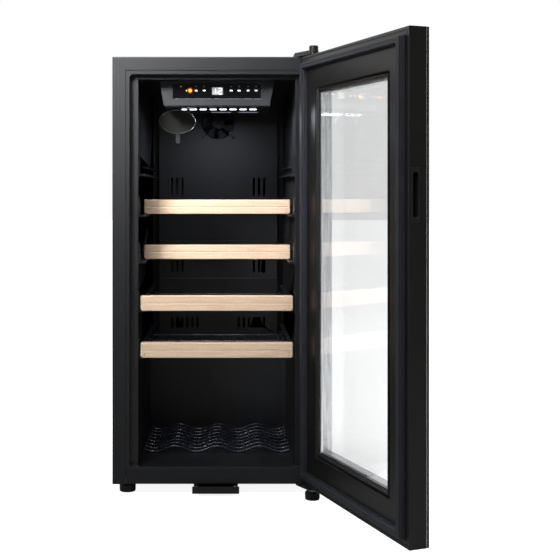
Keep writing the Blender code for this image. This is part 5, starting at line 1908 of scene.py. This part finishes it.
@dataclass
class Studio:
    """A white sweep, soft lamps, and the camera at eye height in front of the open door."""

    bench: Bench
    eye: Triple = (0.0159, -1.955, 0.570)
    lens: float = 66.5
    shift: Pair = (0.098, -0.155)
    floor_size: float = 40.0
    room_light: float = 0.07
    sweep_light: float = 0.85

    def camera(self) -> None:
        """The camera, level, with its view shifted to the right and down."""
        data = bpy.data.cameras.new("camera")
        data.lens = self.lens
        data.shift_x, data.shift_y = self.shift
        data.clip_start, data.clip_end = 0.05, 200
        camera = bpy.data.objects.new("camera", data)
        camera.location = self.bench.matrix @ Vector(self.eye)
        camera.rotation_euler = (math.pi / 2, 0, 0)
        bpy.context.scene.collection.objects.link(camera)
        bpy.context.scene.camera = camera

    def looked_at(self, tree: bpy.types.NodeTree) -> bpy.types.NodeSocket:
        """Tells a look, straight or through glass, from light that falls on something.

        Args:
            tree: The nodes of the world or of a material.

        Returns:
            The socket that is one for a look and nought otherwise.
        """
        rays = add(tree, "LightPath")
        looks = {0: rays.outputs["Is Camera Ray"], 1: rays.outputs["Is Transmission Ray"]}
        return add(tree, "Math", looks, operation="MAXIMUM").outputs[0]

    def sky(self) -> None:
        """White to the eye. The light that it gives is bright behind and dim in front."""
        world = bpy.data.worlds.new("studio")
        bpy.context.scene.world = world
        world.use_nodes = True
        tree = world.node_tree
        tree.nodes.clear()
        seen = self.looked_at(tree)
        place = add(tree, "TexCoord")
        split = add(tree, "SeparateXYZ", {"Vector": place.outputs["Generated"]})
        rise = add(
            tree, "MapRange",
            {"Value": split.outputs["Y"], "From Min": -0.25, "From Max": 0.45,
             "To Min": self.room_light, "To Max": self.sweep_light},
        )
        strength = add(
            tree, "Mix", {0: seen, 2: rise.outputs[0], 3: 1.0}, data_type="FLOAT"
        )
        light = add(tree, "Background", {"Color": (1, 1, 1, 1), "Strength": strength.outputs[0]})
        add(tree, "OutputWorld", {"Surface": light.outputs[0]})

    def floor(self) -> None:
        """A pale floor that fades to the white sweep, with a little of the object's shadow."""
        shape = bmesh.new()
        bmesh.ops.create_grid(shape, x_segments=1, y_segments=1, size=self.floor_size / 2)
        mesh = bpy.data.meshes.new("studio_floor")
        shape.to_mesh(mesh)
        shape.free()
        material = bpy.data.materials.new("matt_white_sweep")
        material.use_nodes = True
        tree = material.node_tree
        tree.nodes.clear()
        seen = self.looked_at(tree)
        paper = add(tree, "BsdfDiffuse", {"Color": linear("F2F2F2")})
        glow = add(tree, "Emission", {"Color": (1, 1, 1, 1), "Strength": 0.9})
        white = add(tree, "AddShader", {0: paper.outputs[0], 1: glow.outputs[0]})
        dim = add(tree, "BsdfDiffuse", {"Color": linear("9A9A9A")})
        mix = add(tree, "MixShader", {0: seen, 1: dim.outputs[0], 2: white.outputs[0]})
        add(tree, "OutputMaterial", {"Surface": mix.outputs[0]})
        mesh.materials.append(material)
        floor = bpy.data.objects.new("studio_floor", mesh)
        floor.location = (0, 0, -0.0005)
        bpy.context.scene.collection.objects.link(floor)

    def lamps(self) -> None:
        """A narrow key on the left flange, a wide lamp on the wood, a top one and the cabinet's."""
        origin = self.bench.matrix.translation
        boxes = (
            Softbox(
                "key", (-0.80, -0.95, 1.40), (-0.24, 0.0, 0.78), (0.4, 0.4), 3.0,
                spread=math.radians(40),
            ),
            Softbox("wood", (-0.3, -1.5, 2.3), (-0.05, 0.0, 0.4), (1.2, 0.9), 36.0),
            Softbox("top", (0.0, 0.2, 2.4), (0.0, 0.1, 0.5), (1.4, 1.4), 10.0),
        )
        for box in boxes:
            box.build()
        low = self.bench.box("control_housing")[0]
        cabinet = Softbox(
            "cabinet_lamps",
            tuple(origin + Vector((0.002, 0.118, low.z - 0.004))),
            tuple(origin + Vector((0.002, 0.118, 0.0))),
            (0.150, 0.012), 0.7, "E8EFFF",
        )
        cabinet.build()

    def build(self) -> None:
        """Makes the stage, the light and the camera."""
        self.sky()
        self.floor()
        self.lamps()
        self.camera()
        bpy.context.scene.view_settings.view_transform = "Standard"


def benches() -> tuple[Bench, Bench]:
    """The cabinet's frame and the swung door's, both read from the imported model.

    Returns:
        The cabinet's bench and the door's.
    """
    left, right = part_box("left_side_panel"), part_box("right_side_panel")
    origin = Vector(((left[0].x + right[1].x) / 2, left[0].y, 0))
    swing = next(joint for joint in frame["joints"] if joint["child"] == Body.DOOR.value)
    hinge = Vector((swing["pos_m"][0], swing["pos_m"][1], 0))
    opened = Matrix.Rotation(math.radians(-swing["range_deg"][0]), 4, "Z")
    shut = Matrix.Translation(origin - hinge)
    door = Matrix.Translation(hinge) @ opened @ shut
    return Bench(Matrix.Translation(origin), Body.CABINET), Bench(door, Body.DOOR)


def main() -> None:
    """Builds the cooler piece by piece, then the studio."""
    logging.basicConfig(level=logging.INFO, format="%(name)s: %(message)s", stream=sys.stdout)
    cabinet, door = benches()
    makers = [Casing(cabinet), Liner(cabinet), Fan(cabinet), ControlUnit(cabinet)]
    makers.append(Fittings(cabinet))
    for number in range(1, 5):
        body = Body(f"shelf_{number}")
        makers.append(Shelf(cabinet.on(body), number))
    makers += [BottomRack(cabinet), Door(door), Hinges(cabinet), Feet(cabinet), DripTray(cabinet)]
    makers += [Cooling(cabinet), Studio(cabinet)]
    for maker in makers:
        log.info("building %s", type(maker).__name__)
        maker.build()


if __name__ == "__main__":
    main()
